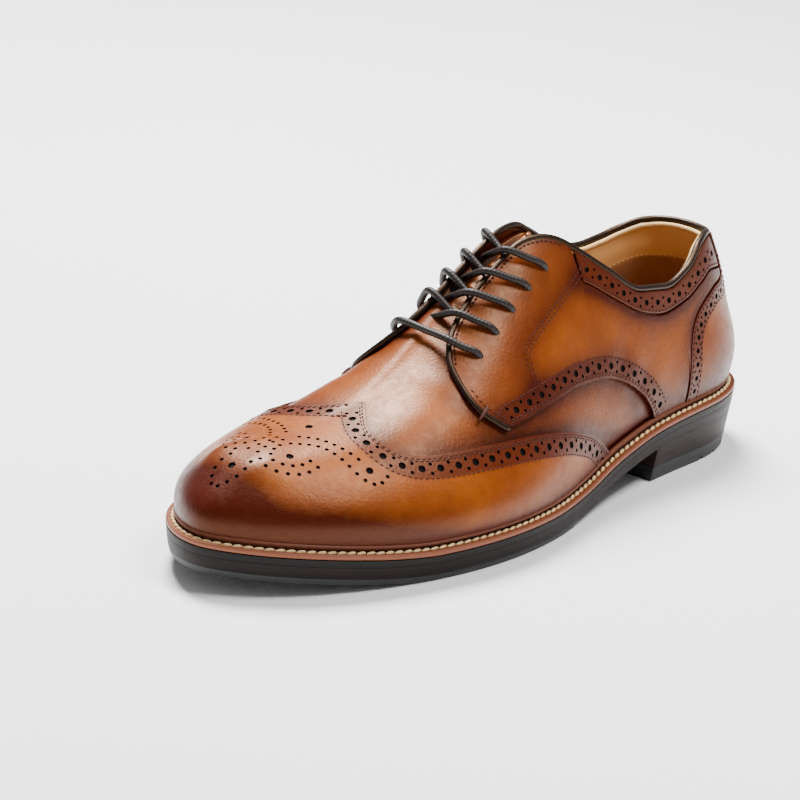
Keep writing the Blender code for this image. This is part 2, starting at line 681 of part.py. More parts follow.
def build_welt(parts):
    """Storm welt: stitched ledge outside, raised rib against the upper."""
    turns = ring_turns(RING_POINTS)
    foot = outline(WELT_WIDTH, turns)
    away = outward(turns)
    ledge = outline(0, turns)
    base = welt_top(foot[:, 0])
    rim = raised(turns, height_above_welt(turns, RIB_HEIGHT), np.full(len(turns), 1.3 * CLEARANCE))

    def ring(plan, z):
        return np.column_stack([plan, z])

    inner_foot = foot + away * CLEARANCE
    rim_out = rim[:, :2] + away * RIB_THICKNESS
    knee = foot + away * (CLEARANCE + RIB_THICKNESS)
    ledge_top = welt_top(ledge[:, 0])
    rings = [
        ring(inner_foot, base - WELT_THICKNESS),
        ring(ledge, ledge_top - WELT_THICKNESS),
        ring(ledge, ledge_top - EDGE_STEP),
        ring(ledge - away * EDGE_STEP, ledge_top),
        ring(knee, base),
        ring(rim_out, base + RIB_HEIGHT - EDGE_STEP),
        ring(rim_out - away * EDGE_STEP, base + RIB_HEIGHT),
        ring(rim[:, :2], base + RIB_HEIGHT),
    ]
    count = len(turns)
    vertices = np.concatenate(rings)
    faces = []
    for r in range(len(rings)):
        n = (r + 1) % len(rings)
        for i in range(count):
            j = (i + 1) % count
            faces.append((r * count + i, r * count + j, n * count + j, n * count + i))
    new_object("welt", vertices, faces, "welt", parts)


# Pieces of the upper
def build_upper(parts, cutters):
    """Hollow shell on the last: open at collar, throat and underneath."""
    rows = 10
    ring = ring_turns(RING_POINTS)
    stations = station_of(ring)
    on_ridge = stations > THROAT
    slot = np.clip(stations, 0, EYELET_ROW["station"][1])
    edge = np.where(ring >= 0, topline(slot, 1), topline(slot, -1))
    setback = SLOT_SETBACK * np.clip((stations - 0.40) / 0.06, 0, 1)
    head = np.where(on_ridge, 1.0, edge - setback - 0.6 * SEAM_GAP)
    turns = np.repeat(ring[:, None], rows, 1)
    share = np.linspace(0, 1, rows)[None, :]
    heights = head[:, None] * share
    front = np.clip((TONGUE_TOP - COLLAR_FADE - stations) / COLLAR_FADE, 0, 1)
    collar = np.clip((share - 0.45) / 0.35, 0, 1) * front[:, None]
    wall = UPPER_WALL + COLLAR_PADDING * collar
    outer = np.zeros(turns.shape)
    foot_z = welt_top(outline(WELT_WIDTH, ring)[:, 0]) - WELT_THICKNESS
    upper = shell("upper", turns, heights, outer, -wall, "leather", parts, True, on_ridge, foot_z)
    cut(upper, eyelet_rods(), "eyelet_cutters_upper", cutters)
    return upper


def eyelet_rods():
    """Cylinders through both facings at the eyelets."""
    rods = []
    for side in (1, -1):
        for station, height in zip(EYELET_ROW["station"], EYELET_ROW["height"]):
            turn = side * float(turn_of(station))
            spot = raised(np.array([turn]), np.array([height]), np.array([0.0]))[0]
            direction = skin_normal(np.array([turn]), np.array([height]))[0]
            rods.append(rod_mesh(spot, direction, EYELET_RADIUS, 16 * MM, 10))
    return rods


def build_wing_cap(parts):
    """Toe cap with its pointed wings, from tip to tip round the toe."""
    rows = 8
    tips = np.array(WING_EDGE["station"])
    edge_stations = np.unique(np.concatenate([np.linspace(tips[0], 0.70, 8), tips[tips > 0.70]]))
    columns = ring_turns(RING_POINTS)[:RING_POINTS]
    front = columns[columns > turn_of(tips[-1]) + 0.03]
    lateral = np.concatenate([turn_of(edge_stations), front])
    ring = np.concatenate([lateral, -lateral[-2::-1]])
    stations = station_of(ring)
    on_ridge = stations > tips[-1] - 1e-6
    head = np.where(on_ridge, 1.0, steady(stations, tips, WING_EDGE["height"]))
    foot = low_edge(ring)
    head = np.maximum(head, foot + 0.02)
    turns = np.repeat(ring[:, None], rows, 1)
    share = np.linspace(0, 1, rows)[None, :]
    heights = foot[:, None] * (1 - share) + head[:, None] * share
    fade = np.clip((WING_PEAK_END - stations) / (WING_PEAK_END - tips[-1]), 0, 1)
    pull = WING_PEAK * np.clip((heights - 0.80) / 0.20, 0, 1) ** 1.5 * fade[:, None]
    turns = np.sign(turns) * turn_of(stations[:, None] - pull)
    inner = OVERLAY_GAP + 2 * CLEARANCE * pull / WING_PEAK
    outer = inner + OVERLAY_THICKNESS
    shell("wing_cap", turns, heights, outer, inner, "leather", parts, ridge=on_ridge)


def build_counter(parts):
    """Heel counter round the back, with its tab up to the collar."""
    rows = 8
    marks = np.array(COUNTER_EDGE["station"])
    lateral = np.unique(np.concatenate([[0.0, 0.004, 0.015, 0.03], marks, [0.09, 0.147]]))
    lateral_turns = turn_of(lateral)
    ring = np.concatenate([-lateral_turns[:0:-1], lateral_turns])
    stations = station_of(ring)
    limit = np.where(ring >= 0, topline(stations, 1), topline(stations, -1))
    head = np.minimum(steady(stations, marks, COUNTER_EDGE["height"]), limit)
    foot = low_edge(ring)
    turns = np.repeat(ring[:, None], rows, 1)
    share = np.linspace(0, 1, rows)[None, :]
    heights = foot[:, None] * (1 - share) + head[:, None] * share
    outer = np.full(turns.shape, OVERLAY_GAP + OVERLAY_THICKNESS * 1.2)
    inner = np.full(turns.shape, OVERLAY_GAP)
    shell("heel_counter", turns, heights, outer, inner, "leather", parts)


def counter_limit(stations):
    """Height of the counter's edge where the quarter meets it."""
    edge = steady(stations, COUNTER_EDGE["station"], COUNTER_EDGE["height"])
    return np.where(stations < COUNTER_EDGE["station"][-1] + 0.004, edge + SEAM_GAP * 1.6, 0)


def build_quarter(side, parts, cutters):
    """Quarter with its lace facing, from the counter to the front corner."""
    rear = [BAND_REAR + 0.002, 0.075, 0.106, 0.12, 0.135, 0.147, 0.158, 0.166, 0.174, 0.183, 0.1915, 0.1935]
    middle = [0.225, 0.252, 0.275, 0.297, 0.317, 0.337, 0.366, BAND_FRONT - 0.001]
    front = [BAND_FRONT + 0.001, 0.415, 0.44, 0.46, 0.48, 0.52, 0.56, 0.60, 0.622, 0.638, 0.648]
    stations = np.array(rear + middle + front)
    lowest = low_edge(side * turn_of(stations))
    foot = np.maximum(counter_limit(stations), lowest)
    arch = steady(stations, QUARTER_FOOT["station"], QUARTER_FOOT["height"])
    foot = np.where(stations > 0.25, np.maximum(arch, lowest), foot)
    under_band = band_foot(stations, side) - SEAM_GAP
    head = np.where(stations < BAND_FRONT, under_band, topline(stations, side))
    foot = np.minimum(foot, head - 0.02)
    name = "quarter_lateral" if side > 0 else "quarter_medial"
    quarter = patch(name, stations, foot, head, side, 6, "leather", parts)
    cut(quarter, eyelet_rods(), "eyelet_cutters_" + name, cutters)


def build_band(side, parts):
    """Perforated strip below the collar, from the tab to the facing."""
    stations = np.concatenate([[BAND_REAR], np.linspace(0.075, BAND_FRONT - 0.004, 14)])
    foot = band_foot(stations, side)
    head = topline(stations, side)
    name = "collar_band_lateral" if side > 0 else "collar_band_medial"
    patch(name, stations, foot, head, side, 3, "leather", parts)


def piping_path():
    """Centre line of the rolled piping, from the lateral corner round the collar."""
    corner_stations = np.array([0.604, 0.613, 0.622, 0.631, 0.640, 0.648])
    corner = steady(corner_stations, QUARTER_FOOT["station"], QUARTER_FOOT["height"])
    edge_stations = np.concatenate(
        [[0.6485, 0.646, 0.641, 0.634, 0.625, 0.61], np.linspace(0.59, 0.48, 4), np.linspace(0.465, 0.36, 7)]
    )
    collar_stations = station_of(np.linspace(turn_of(0.345), 0, 14))
    sides = []
    for side in (1, -1):
        edge = topline(edge_stations, side)
        collar = topline(collar_stations, side)
        stations = np.concatenate([corner_stations, edge_stations[1:], collar_stations])
        heights = np.concatenate([corner, edge[1:], collar])
        sides.append((side * turn_of(stations), heights))
    turns = np.concatenate([sides[0][0], sides[1][0][-2::-1]])
    heights = np.concatenate([sides[0][1], sides[1][1][-2::-1]])
    return turns, heights


def build_piping(parts):
    """Rolled piping on the edge of facings and collar."""
    turns, heights = piping_path()
    edge = raised(turns, heights, np.full(len(turns), 0.0))
    normal = skin_normal(turns, heights)
    along = np.gradient(edge, axis=0)
    along /= np.linalg.norm(along, axis=1)[:, None]
    beyond = np.cross(normal, along)
    stations = station_of(turns)
    facing = np.clip((stations - 0.36) / 0.08, 0, 1)[:, None]
    lift = facing * (PIPING_RADIUS + OVERLAY_GAP) + (1 - facing) * 0.2 * MM
    centre = edge + normal * lift + beyond * (PIPING_RADIUS + 1.7 * CLEARANCE)
    tube("piping", centre, PIPING_RADIUS, "piping", parts)


def build_tongue(parts):
    """Tongue under the facings, from below the vamp to above the collar's front."""
    columns = 12
    rows = 9
    share = np.linspace(0, 1, columns)
    width = 1 - TONGUE_EDGE - 0.05 * np.clip((0.25 - share) / 0.25, 0, 1)
    across = np.linspace(-1, 1, rows)
    top = TONGUE_TOP + TONGUE_ROUND * np.abs(across) ** 3
    stations = TONGUE_FRONT + np.outer(share, top - TONGUE_FRONT)
    spread = np.outer(width, across)
    turns = np.where(spread > 1e-9, -1.0, 1.0) * turn_of(stations)
    drop = np.outer(np.clip((share - 0.6) / 0.4, 0, 1), 1 - across**2) * TONGUE_DROP
    outer = -TONGUE_DEPTH - drop
    shell("tongue", turns, 1 - np.abs(spread), outer, outer - TONGUE_THICKNESS, "leather", parts)


# Pieces of the lace
def lace_strand(level, side):
    """Centre line from one eyelet over the gap, under the edge of the other facing."""
    station = EYELET_ROW["station"][level]
    pitch = EYELET_ROW["station"][0] - EYELET_ROW["station"][1]
    on_facing = OVERLAY_GAP + OVERLAY_THICKNESS + CLEARANCE + LACE_RADIUS
    crest = OVERLAY_GAP + 2 * PIPING_RADIUS + 3 * CLEARANCE + LACE_RADIUS
    low = LACE_RADIUS + CLEARANCE - TONGUE_DEPTH
    rise = np.array(LACE_ROUTE["rise_over" if side > 0 else "rise_under"])
    stations = station - pitch * np.concatenate([[0], LACE_ROUTE["forward"]])
    sides = side * np.concatenate([[1], np.where(LACE_ROUTE["own"], 1, -1)])
    heights = np.concatenate([[EYELET_ROW["height"][level]], LACE_ROUTE["height"]])
    lifts = np.concatenate([[on_facing], low + (crest - low) * rise])
    knots = raised(sides * turn_of(stations), heights, lifts)
    return natural(np.linspace(0, 1, 11), np.linspace(0, 1, len(knots)), knots)


def build_laces(parts):
    """Straight bar at the bottom and four crossings, each crossing joined."""
    on_facing = OVERLAY_GAP + OVERLAY_THICKNESS + CLEARANCE + LACE_RADIUS
    crest = OVERLAY_GAP + 2 * PIPING_RADIUS + 2 * CLEARANCE + LACE_RADIUS
    half_heights = np.array([EYELET_ROW["height"][0], 0.82, 0.875, 0.92, 0.965, 1.0])
    half_lifts = on_facing + (crest - on_facing) * np.array([0, 0.35, 1, 1.04, 0.65, 0.4])
    heights = np.concatenate([half_heights, half_heights[-2::-1]])
    lifts = np.concatenate([half_lifts, half_lifts[-2::-1]])
    sides = np.where(np.arange(len(heights)) < len(half_heights), 1, -1)
    knots = raised(sides * float(turn_of(EYELET_ROW["station"][0])), heights, lifts)
    points = natural(np.linspace(0, 1, 13), np.linspace(0, 1, len(knots)), knots)
    tube("lace_bar", points, LACE_RADIUS, "lace", parts)
    for level in range(1, 5):
        name = f"lace_crossing_{level + 1}"
        over = tube(name, lace_strand(level, 1), LACE_RADIUS, "lace", parts)
        under = tube(name + "_under", lace_strand(level, -1), LACE_RADIUS, "lace", parts)
        join(over, under)


def join(thing, other):
    """Boolean union, applied, so that both are one solid."""
    step = thing.modifiers.new("join", "BOOLEAN")
    step.operation = "UNION"
    step.solver = "EXACT"
    step.object = other
    bpy.context.view_layer.update()
    graph = bpy.context.evaluated_depsgraph_get()
    mesh = bpy.data.meshes.new_from_object(thing.evaluated_get(graph))
    mesh.materials.clear()
    mesh.materials.append(thing.data.materials[0])
    thing.modifiers.clear()
    thing.data = mesh
    bpy.data.objects.remove(other, do_unlink=True)


def centre_on_origin(parts, cutters):
    """Move everything so that the middle of the sole's outline lies over the origin."""
    edge = outline(0, ring_turns(RING_POINTS))
    middle = (edge.max(axis=0) + edge.min(axis=0)) / 2
    moved = set()
    for thing in list(parts.objects) + list(cutters.objects):
        if thing.data.name in moved:
            continue
        moved.add(thing.data.name)
        for vertex in thing.data.vertices:
            vertex.co.x -= middle[0]
            vertex.co.y -= middle[1]


def main():
    """Build the shoe."""
    for thing in list(bpy.data.objects):
        bpy.data.objects.remove(thing, do_unlink=True)
    parts = bpy.data.collections.new("brogue_shoe")
    cutters = bpy.data.collections.new("cutters")
    bpy.context.scene.collection.children.link(parts)
    bpy.context.scene.collection.children.link(cutters)
    build_sole(parts, cutters)
    build_upper(parts, cutters)
    build_wing_cap(parts)
    build_counter(parts)
    for side in (1, -1):
        build_quarter(side, parts, cutters)
        build_band(side, parts)
    build_piping(parts)
    build_tongue(parts)
    build_laces(parts)
    centre_on_origin(parts, cutters)


main()
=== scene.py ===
"""Looks of a left brogue shoe: burnished calf on a storm welt with a stacked sole.

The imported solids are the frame. Each panel of the upper is laid on the same last as the solids, in
fine faces, and gets its seams, punched holes, stitches and finish here.
"""

import logging
import math
from collections.abc import Callable
from dataclasses import dataclass
from enum import Enum
from typing import Any

import bpy
import numpy as np
from mathutils import Matrix, Vector
from mathutils.bvhtree import BVHTree
from mathutils.kdtree import KDTree
from numpy.typing import ArrayLike


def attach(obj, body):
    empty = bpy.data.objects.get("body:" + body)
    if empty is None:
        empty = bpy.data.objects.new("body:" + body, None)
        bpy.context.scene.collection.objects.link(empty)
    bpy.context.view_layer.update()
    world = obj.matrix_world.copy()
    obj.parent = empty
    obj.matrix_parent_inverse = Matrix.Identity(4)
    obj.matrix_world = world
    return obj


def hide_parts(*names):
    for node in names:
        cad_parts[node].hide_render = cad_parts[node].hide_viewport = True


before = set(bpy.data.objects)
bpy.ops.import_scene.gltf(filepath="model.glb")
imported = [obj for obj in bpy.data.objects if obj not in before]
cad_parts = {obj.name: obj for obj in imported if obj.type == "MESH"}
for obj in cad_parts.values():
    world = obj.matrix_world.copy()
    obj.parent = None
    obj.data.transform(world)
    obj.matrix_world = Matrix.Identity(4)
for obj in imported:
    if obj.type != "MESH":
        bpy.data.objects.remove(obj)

log = logging.getLogger("brogue")
MM = 0.001
BODY = "root"

# The last and the cut lines, as in the construction: shares of the named sizes at each station
SOLE_PLAN = {
    "station": (0, 0.03, 0.06, 0.12, 0.20, 0.30, 0.40, 0.50, 0.60, 0.72, 0.80, 0.88, 0.94, 0.98, 1),
    "lateral": (0, 0.204, 0.264, 0.32, 0.34, 0.366, 0.41, 0.477, 0.514, 0.486, 0.426, 0.33, 0.22, 0.1, -0.04),
    "medial": (0, 0.204, 0.264, 0.315, 0.32, 0.282, 0.245, 0.27, 0.366, 0.48, 0.486, 0.42, 0.32, 0.2, 0.04),
}
SIDE_PROFILE = {
    "station": (0, 0.12, 0.25, 0.35, 0.45, 0.54, 0.74, 0.80, 0.86, 0.93, 1),
    "heel": (1, 0.985, 0.85, 0.53, 0.12, 0, 0, 0, 0, 0, 0),
    "spring": (0, 0, 0, 0, 0, 0, 0, 0.14, 0.40, 0.72, 1),
}
LAST = {
    "station": (0, 0.06, 0.15, 0.27, 0.40, 0.50, 0.60, 0.70, 0.80, 0.88, 0.95, 1),
    "side_out_lat": (0.022, 0.022, 0.020, 0.010, 0.010, 0.020, 0.030, 0.030, 0.025, 0.020, 0.010, 0.004),
    "side_out_med": (0.022, 0.022, 0.015, -0.020, -0.030, -0.010, 0.020, 0.035, 0.030, 0.020, 0.010, 0.004),
    "side_rise": (0.16, 0.16, 0.16, 0.15, 0.14, 0.14, 0.13, 0.12, 0.12, 0.11, 0.10, 0.10),
    "shoulder_lat": (1, 0.95, 0.92, 0.86, 0.82, 0.80, 0.80, 0.80, 0.82, 0.83, 0.83, 1),
    "shoulder_med": (1, 0.95, 0.92, 0.92, 0.95, 0.90, 0.84, 0.82, 0.82, 0.83, 0.83, 1),
    "shoulder_rise": (0.38, 0.38, 0.40, 0.45, 0.48, 0.46, 0.40, 0.34, 0.285, 0.24, 0.22, 0.21),
    "shoulder_back": (-0.014, -0.008, 0, 0, 0.010, 0.010, 0.010, 0.010, 0.012, 0.014, 0.020, 0.032),
    "crown_lat": (1, 0.74, 0.66, 0.52, 0.44, 0.42, 0.43, 0.45, 0.47, 0.48, 0.48, 1),
    "crown_med": (1, 0.74, 0.69, 0.60, 0.56, 0.50, 0.46, 0.46, 0.47, 0.48, 0.48, 1),
    "crown_rise": (0.66, 0.68, 0.75, 0.84, 0.86, 0.79, 0.64, 0.495, 0.39, 0.33, 0.30, 0.285),
    "crown_back": (-0.050, -0.032, -0.006, 0.005, 0.015, 0.018, 0.022, 0.025, 0.028, 0.035, 0.050, 0.072),
    "ridge_rise": (0.93, 0.97, 1.04, 1.12, 1.09, 0.965, 0.76, 0.57, 0.43, 0.36, 0.325, 0.31),
    "ridge_back": (-0.085, -0.055, -0.018, 0.010, 0.022, 0.028, 0.034, 0.040, 0.046, 0.056, 0.086, 0.112),
    "ridge_side": (0, 0, -0.01, -0.02, -0.03, -0.03, -0.02, -0.01, -0.01, -0.01, -0.02, -0.037),
}
LEVELS = (0, 0.20, 0.48, 0.76, 1)  # welt line, side, shoulder, crown, ridge
TOPLINE = {
    "station": (0, 0.06, 0.12, 0.17, 0.22, 0.27, 0.345, 0.385, 0.415, 0.44, 0.48, 0.56, 0.60, 0.63, 0.648),
    "lateral": (
        0.782, 0.774, 0.735, 0.648, 0.59, 0.592, 0.692, 0.768, 0.832, 0.87, 0.9, 0.905, 0.893, 0.86, 0.79
    ),
    "medial": (
        0.782, 0.758, 0.706, 0.662, 0.638, 0.638, 0.72, 0.78, 0.836, 0.87, 0.9, 0.905, 0.893, 0.86, 0.79
    ),
}
QUARTER_FOOT = {
    "station": (0.20, 0.252, 0.262, 0.275, 0.297, 0.337, 0.396, 0.456, 0.52, 0.60, 0.622, 0.638, 0.648),
    "height": (0, 0, 0.05, 0.14, 0.245, 0.338, 0.408, 0.440, 0.448, 0.458, 0.515, 0.580, 0.68),
}
COUNTER_EDGE = {
    "station": (0, 0.045, 0.055, 0.075, 0.106, 0.135, 0.158, 0.172, 0.182, 0.188),
    "height": (1, 1, 0.64, 0.615, 0.59, 0.545, 0.490, 0.430, 0.340, 0.20),
}
BAND_FOOT = {
    "station": (0.045, 0.106, 0.15, 0.18, 0.235, 0.265, 0.337, 0.385, 0.40),
    "lateral": (0.675, 0.665, 0.605, 0.555, 0.512, 0.522, 0.606, 0.685, 0.71),
    "medial": (0.675, 0.635, 0.596, 0.574, 0.553, 0.555, 0.632, 0.694, 0.715),
}
WING_EDGE = {
    "station": (0.371, 0.4, 0.43, 0.456, 0.5, 0.587, 0.655, 0.719, 0.755, 0.778, 0.790, 0.797, 0.803, 0.809),
    "height": (0.060, 0.185, 0.262, 0.298, 0.345, 0.405, 0.442, 0.482, 0.522, 0.575, 0.64, 0.71, 0.80, 0.985),
}
FACING_SEAM = {  # double stitch down the facing, from the collar to the lower front
    "station": (0.379, 0.405, 0.465, 0.517, 0.535, 0.537, 0.536),
    "height": (0.742, 0.717, 0.683, 0.658, 0.630, 0.580, 0.520),
}
EYELETS = {
    "station": (0.604, 0.565, 0.526, 0.487, 0.448),
    "height": (0.744, 0.757, 0.768, 0.779, 0.790),
}
LACE_LEAD = {  # how far toward the toe each strand has run where it meets the piping
    "lateral": (0.030, 0.036, 0.044, 0.048, 0.048),
    "medial": (0.024, 0.016, 0.023, 0.027, 0.027),
}
CREASES = {  # soft troughs of the walked-in vamp: place, depth, and half widths along and up
    "station": (0.655, 0.690, 0.726, 0.640, 0.290, 0.340),
    "height": (0.80, 0.74, 0.80, 0.58, 0.30, 0.42),
    "lean": (0.16, 0.18, 0.16, 0.20, -0.30, -0.34),
    "depth_mm": (0.30, 0.34, 0.22, 0.20, 0.14, 0.12),
    "along": (0.011, 0.012, 0.010, 0.012, 0.020, 0.020),
    "up": (0.13, 0.13, 0.10, 0.10, 0.10, 0.10),
}
# The toe's punched ornament: millimetres from the heel and from the middle line, and how many
# holes each chain has. It is the same on both sides of the middle line.
MEDALLION = (
    (((256.0, 3.4), (252.4, 9.0), (250.0, 16.0), (247.4, 25.6)), 8),
    (
        (
            (262.4, 5.4), (256.8, 11.0), (253.6, 19.0), (251.8, 28.6),
            (248.8, 34.0), (245.2, 35.6), (241.6, 35.2)
        ),
        13,
    ),
    (((263.0, 20.2), (269.2, 19.4), (275.4, 15.6), (279.0, 10.6), (278.2, 6.4)), 7),
    (((263.6, 16.8), (269.4, 15.8), (274.4, 11.6), (274.6, 8.0), (271.0, 5.2), (266.6, 4.2)), 8),
    (((281.4, 5.2), (285.4, 6.0), (289.6, 4.8), (293.4, 1.6)), 5),
)
MEDALLION_BIG = ((247.4, 0.0), (268.4, 11.2), (285.4, 0.0), (246.6, 30.6))
MEDALLION_SPINE = ((262.6, 1.6), (266.8, 0.9), (271.4, 1.6), (275.6, 2.4))


class Side(Enum):
    """The two sides of the shoe."""

    LATERAL = 1
    MEDIAL = -1

    @property
    def column(self) -> str:
        """Name of its column in the tables, and of its half in the pieces' names."""
        return self.name.lower()


# Interpolation
def smooth(x: ArrayLike, xs: ArrayLike, ys: ArrayLike, free: bool = False) -> np.ndarray:
    """Read a cubic spline through a table.

    Args:
        x: Places to read at.
        xs: The table's places.
        ys: The table's values.
        free: Whether the ends are unbent instead of flat.

    Returns:
        Values at the places.
    """
    x = np.atleast_1d(np.asarray(x, float))
    xs, ys = np.asarray(xs, float), np.asarray(ys, float)
    count = len(xs)
    step = np.diff(xs)
    rise = np.diff(ys, axis=0) / step.reshape((-1,) + (1,) * (ys.ndim - 1))
    matrix = np.eye(count)
    right = np.zeros(ys.shape)
    if not free:
        matrix[0, :2] = 2 * step[0], step[0]
        matrix[-1, -2:] = step[-1], 2 * step[-1]
        right[0], right[-1] = 6 * rise[0], -6 * rise[-1]
    for i in range(1, count - 1):
        matrix[i, i - 1 : i + 2] = step[i - 1], 2 * (step[i - 1] + step[i]), step[i]
        right[i] = 6 * (rise[i] - rise[i - 1])
    bend = np.linalg.solve(matrix, right.reshape(count, -1)).reshape(ys.shape)
    k = np.clip(np.searchsorted(xs, x) - 1, 0, count - 2)
    wide = (slice(None),) + (None,) * (ys.ndim - 1)
    after, before, run = (x - xs[k])[wide], (xs[k + 1] - x)[wide], step[k][wide]
    curve = (bend[k] * before**3 + bend[k + 1] * after**3) / (6 * run)
    line = (ys[k] / run - bend[k] * run / 6) * before + (ys[k + 1] / run - bend[k + 1] * run / 6) * after
    return curve + line


def steady(x: ArrayLike, xs: ArrayLike, ys: ArrayLike) -> np.ndarray:
    """Read a table without overshoot, for steps and edges.

    Args:
        x: Places to read at.
        xs: The table's places.
        ys: The table's values.

    Returns:
        Values at the places.
    """
    x = np.atleast_1d(np.asarray(x, float))
    xs, ys = np.asarray(xs, float), np.asarray(ys, float)
    step = np.diff(xs)
    rise = np.diff(ys) / step
    slope = np.zeros(len(xs))
    for i in range(1, len(xs) - 1):
        if rise[i - 1] * rise[i] > 0:
            slope[i] = 2 / (1 / rise[i - 1] + 1 / rise[i])
    slope[0], slope[-1] = rise[0], rise[-1]
    k = np.clip(np.searchsorted(xs, x) - 1, 0, len(xs) - 2)
    t = np.clip((x - xs[k]) / step[k], 0, 1)
    level = ys[k] * (1 + 2 * t) * (1 - t) ** 2 + ys[k + 1] * t * t * (3 - 2 * t)
    return level + step[k] * (slope[k] * t * (1 - t) ** 2 - slope[k + 1] * t * t * (1 - t))


def turn_of(station: ArrayLike) -> np.ndarray:
    """Turn of a station: 0 at the heel, pi at the toe."""
    return np.arccos(np.clip(1 - 2 * np.asarray(station, float), -1, 1))


def station_of(turn: ArrayLike) -> np.ndarray:
    """Station along the length of a turn."""
    return (1 - np.cos(np.asarray(turn, float))) / 2


def wrapped(turns: ArrayLike) -> np.ndarray:
    """Signed turns brought back between -pi and pi."""
    return (np.asarray(turns, float) + math.pi) % (2 * math.pi) - math.pi


def read(table: dict, stations: ArrayLike, column: str = "height") -> np.ndarray:
    """Read one column of a cut line's table."""
    return steady(stations, table["station"], table[column])


def between(foot: np.ndarray, head: np.ndarray, rows: int) -> np.ndarray:
    """Grid of heights, a row of them from foot to head for each place."""
    share = np.linspace(0, 1, rows)[None, :]
    return foot[:, None] * (1 - share) + head[:, None] * share


def run_of(line: np.ndarray) -> np.ndarray:
    """Distance of each point of a line from its start, along it."""
    return np.append(0, np.cumsum(np.linalg.norm(np.diff(line, axis=0), axis=1)))


def along_line(places: ArrayLike, run: np.ndarray, line: np.ndarray) -> np.ndarray:
    """Points at distances along a line, from the run of its own points."""
    return np.stack([np.interp(places, run, column) for column in line.T], -1)


def unit(vectors: np.ndarray) -> np.ndarray:
    """Vectors at length one."""
    return vectors / (np.linalg.norm(vectors, axis=-1, keepdims=True) + 1e-12)


def soft_step(x: np.ndarray, start: float, end: float) -> np.ndarray:
    """Rise from 0 at start to 1 at end without a corner."""
    t = np.clip((x - start) / (end - start), 0, 1)
    return t * t * (3 - 2 * t)


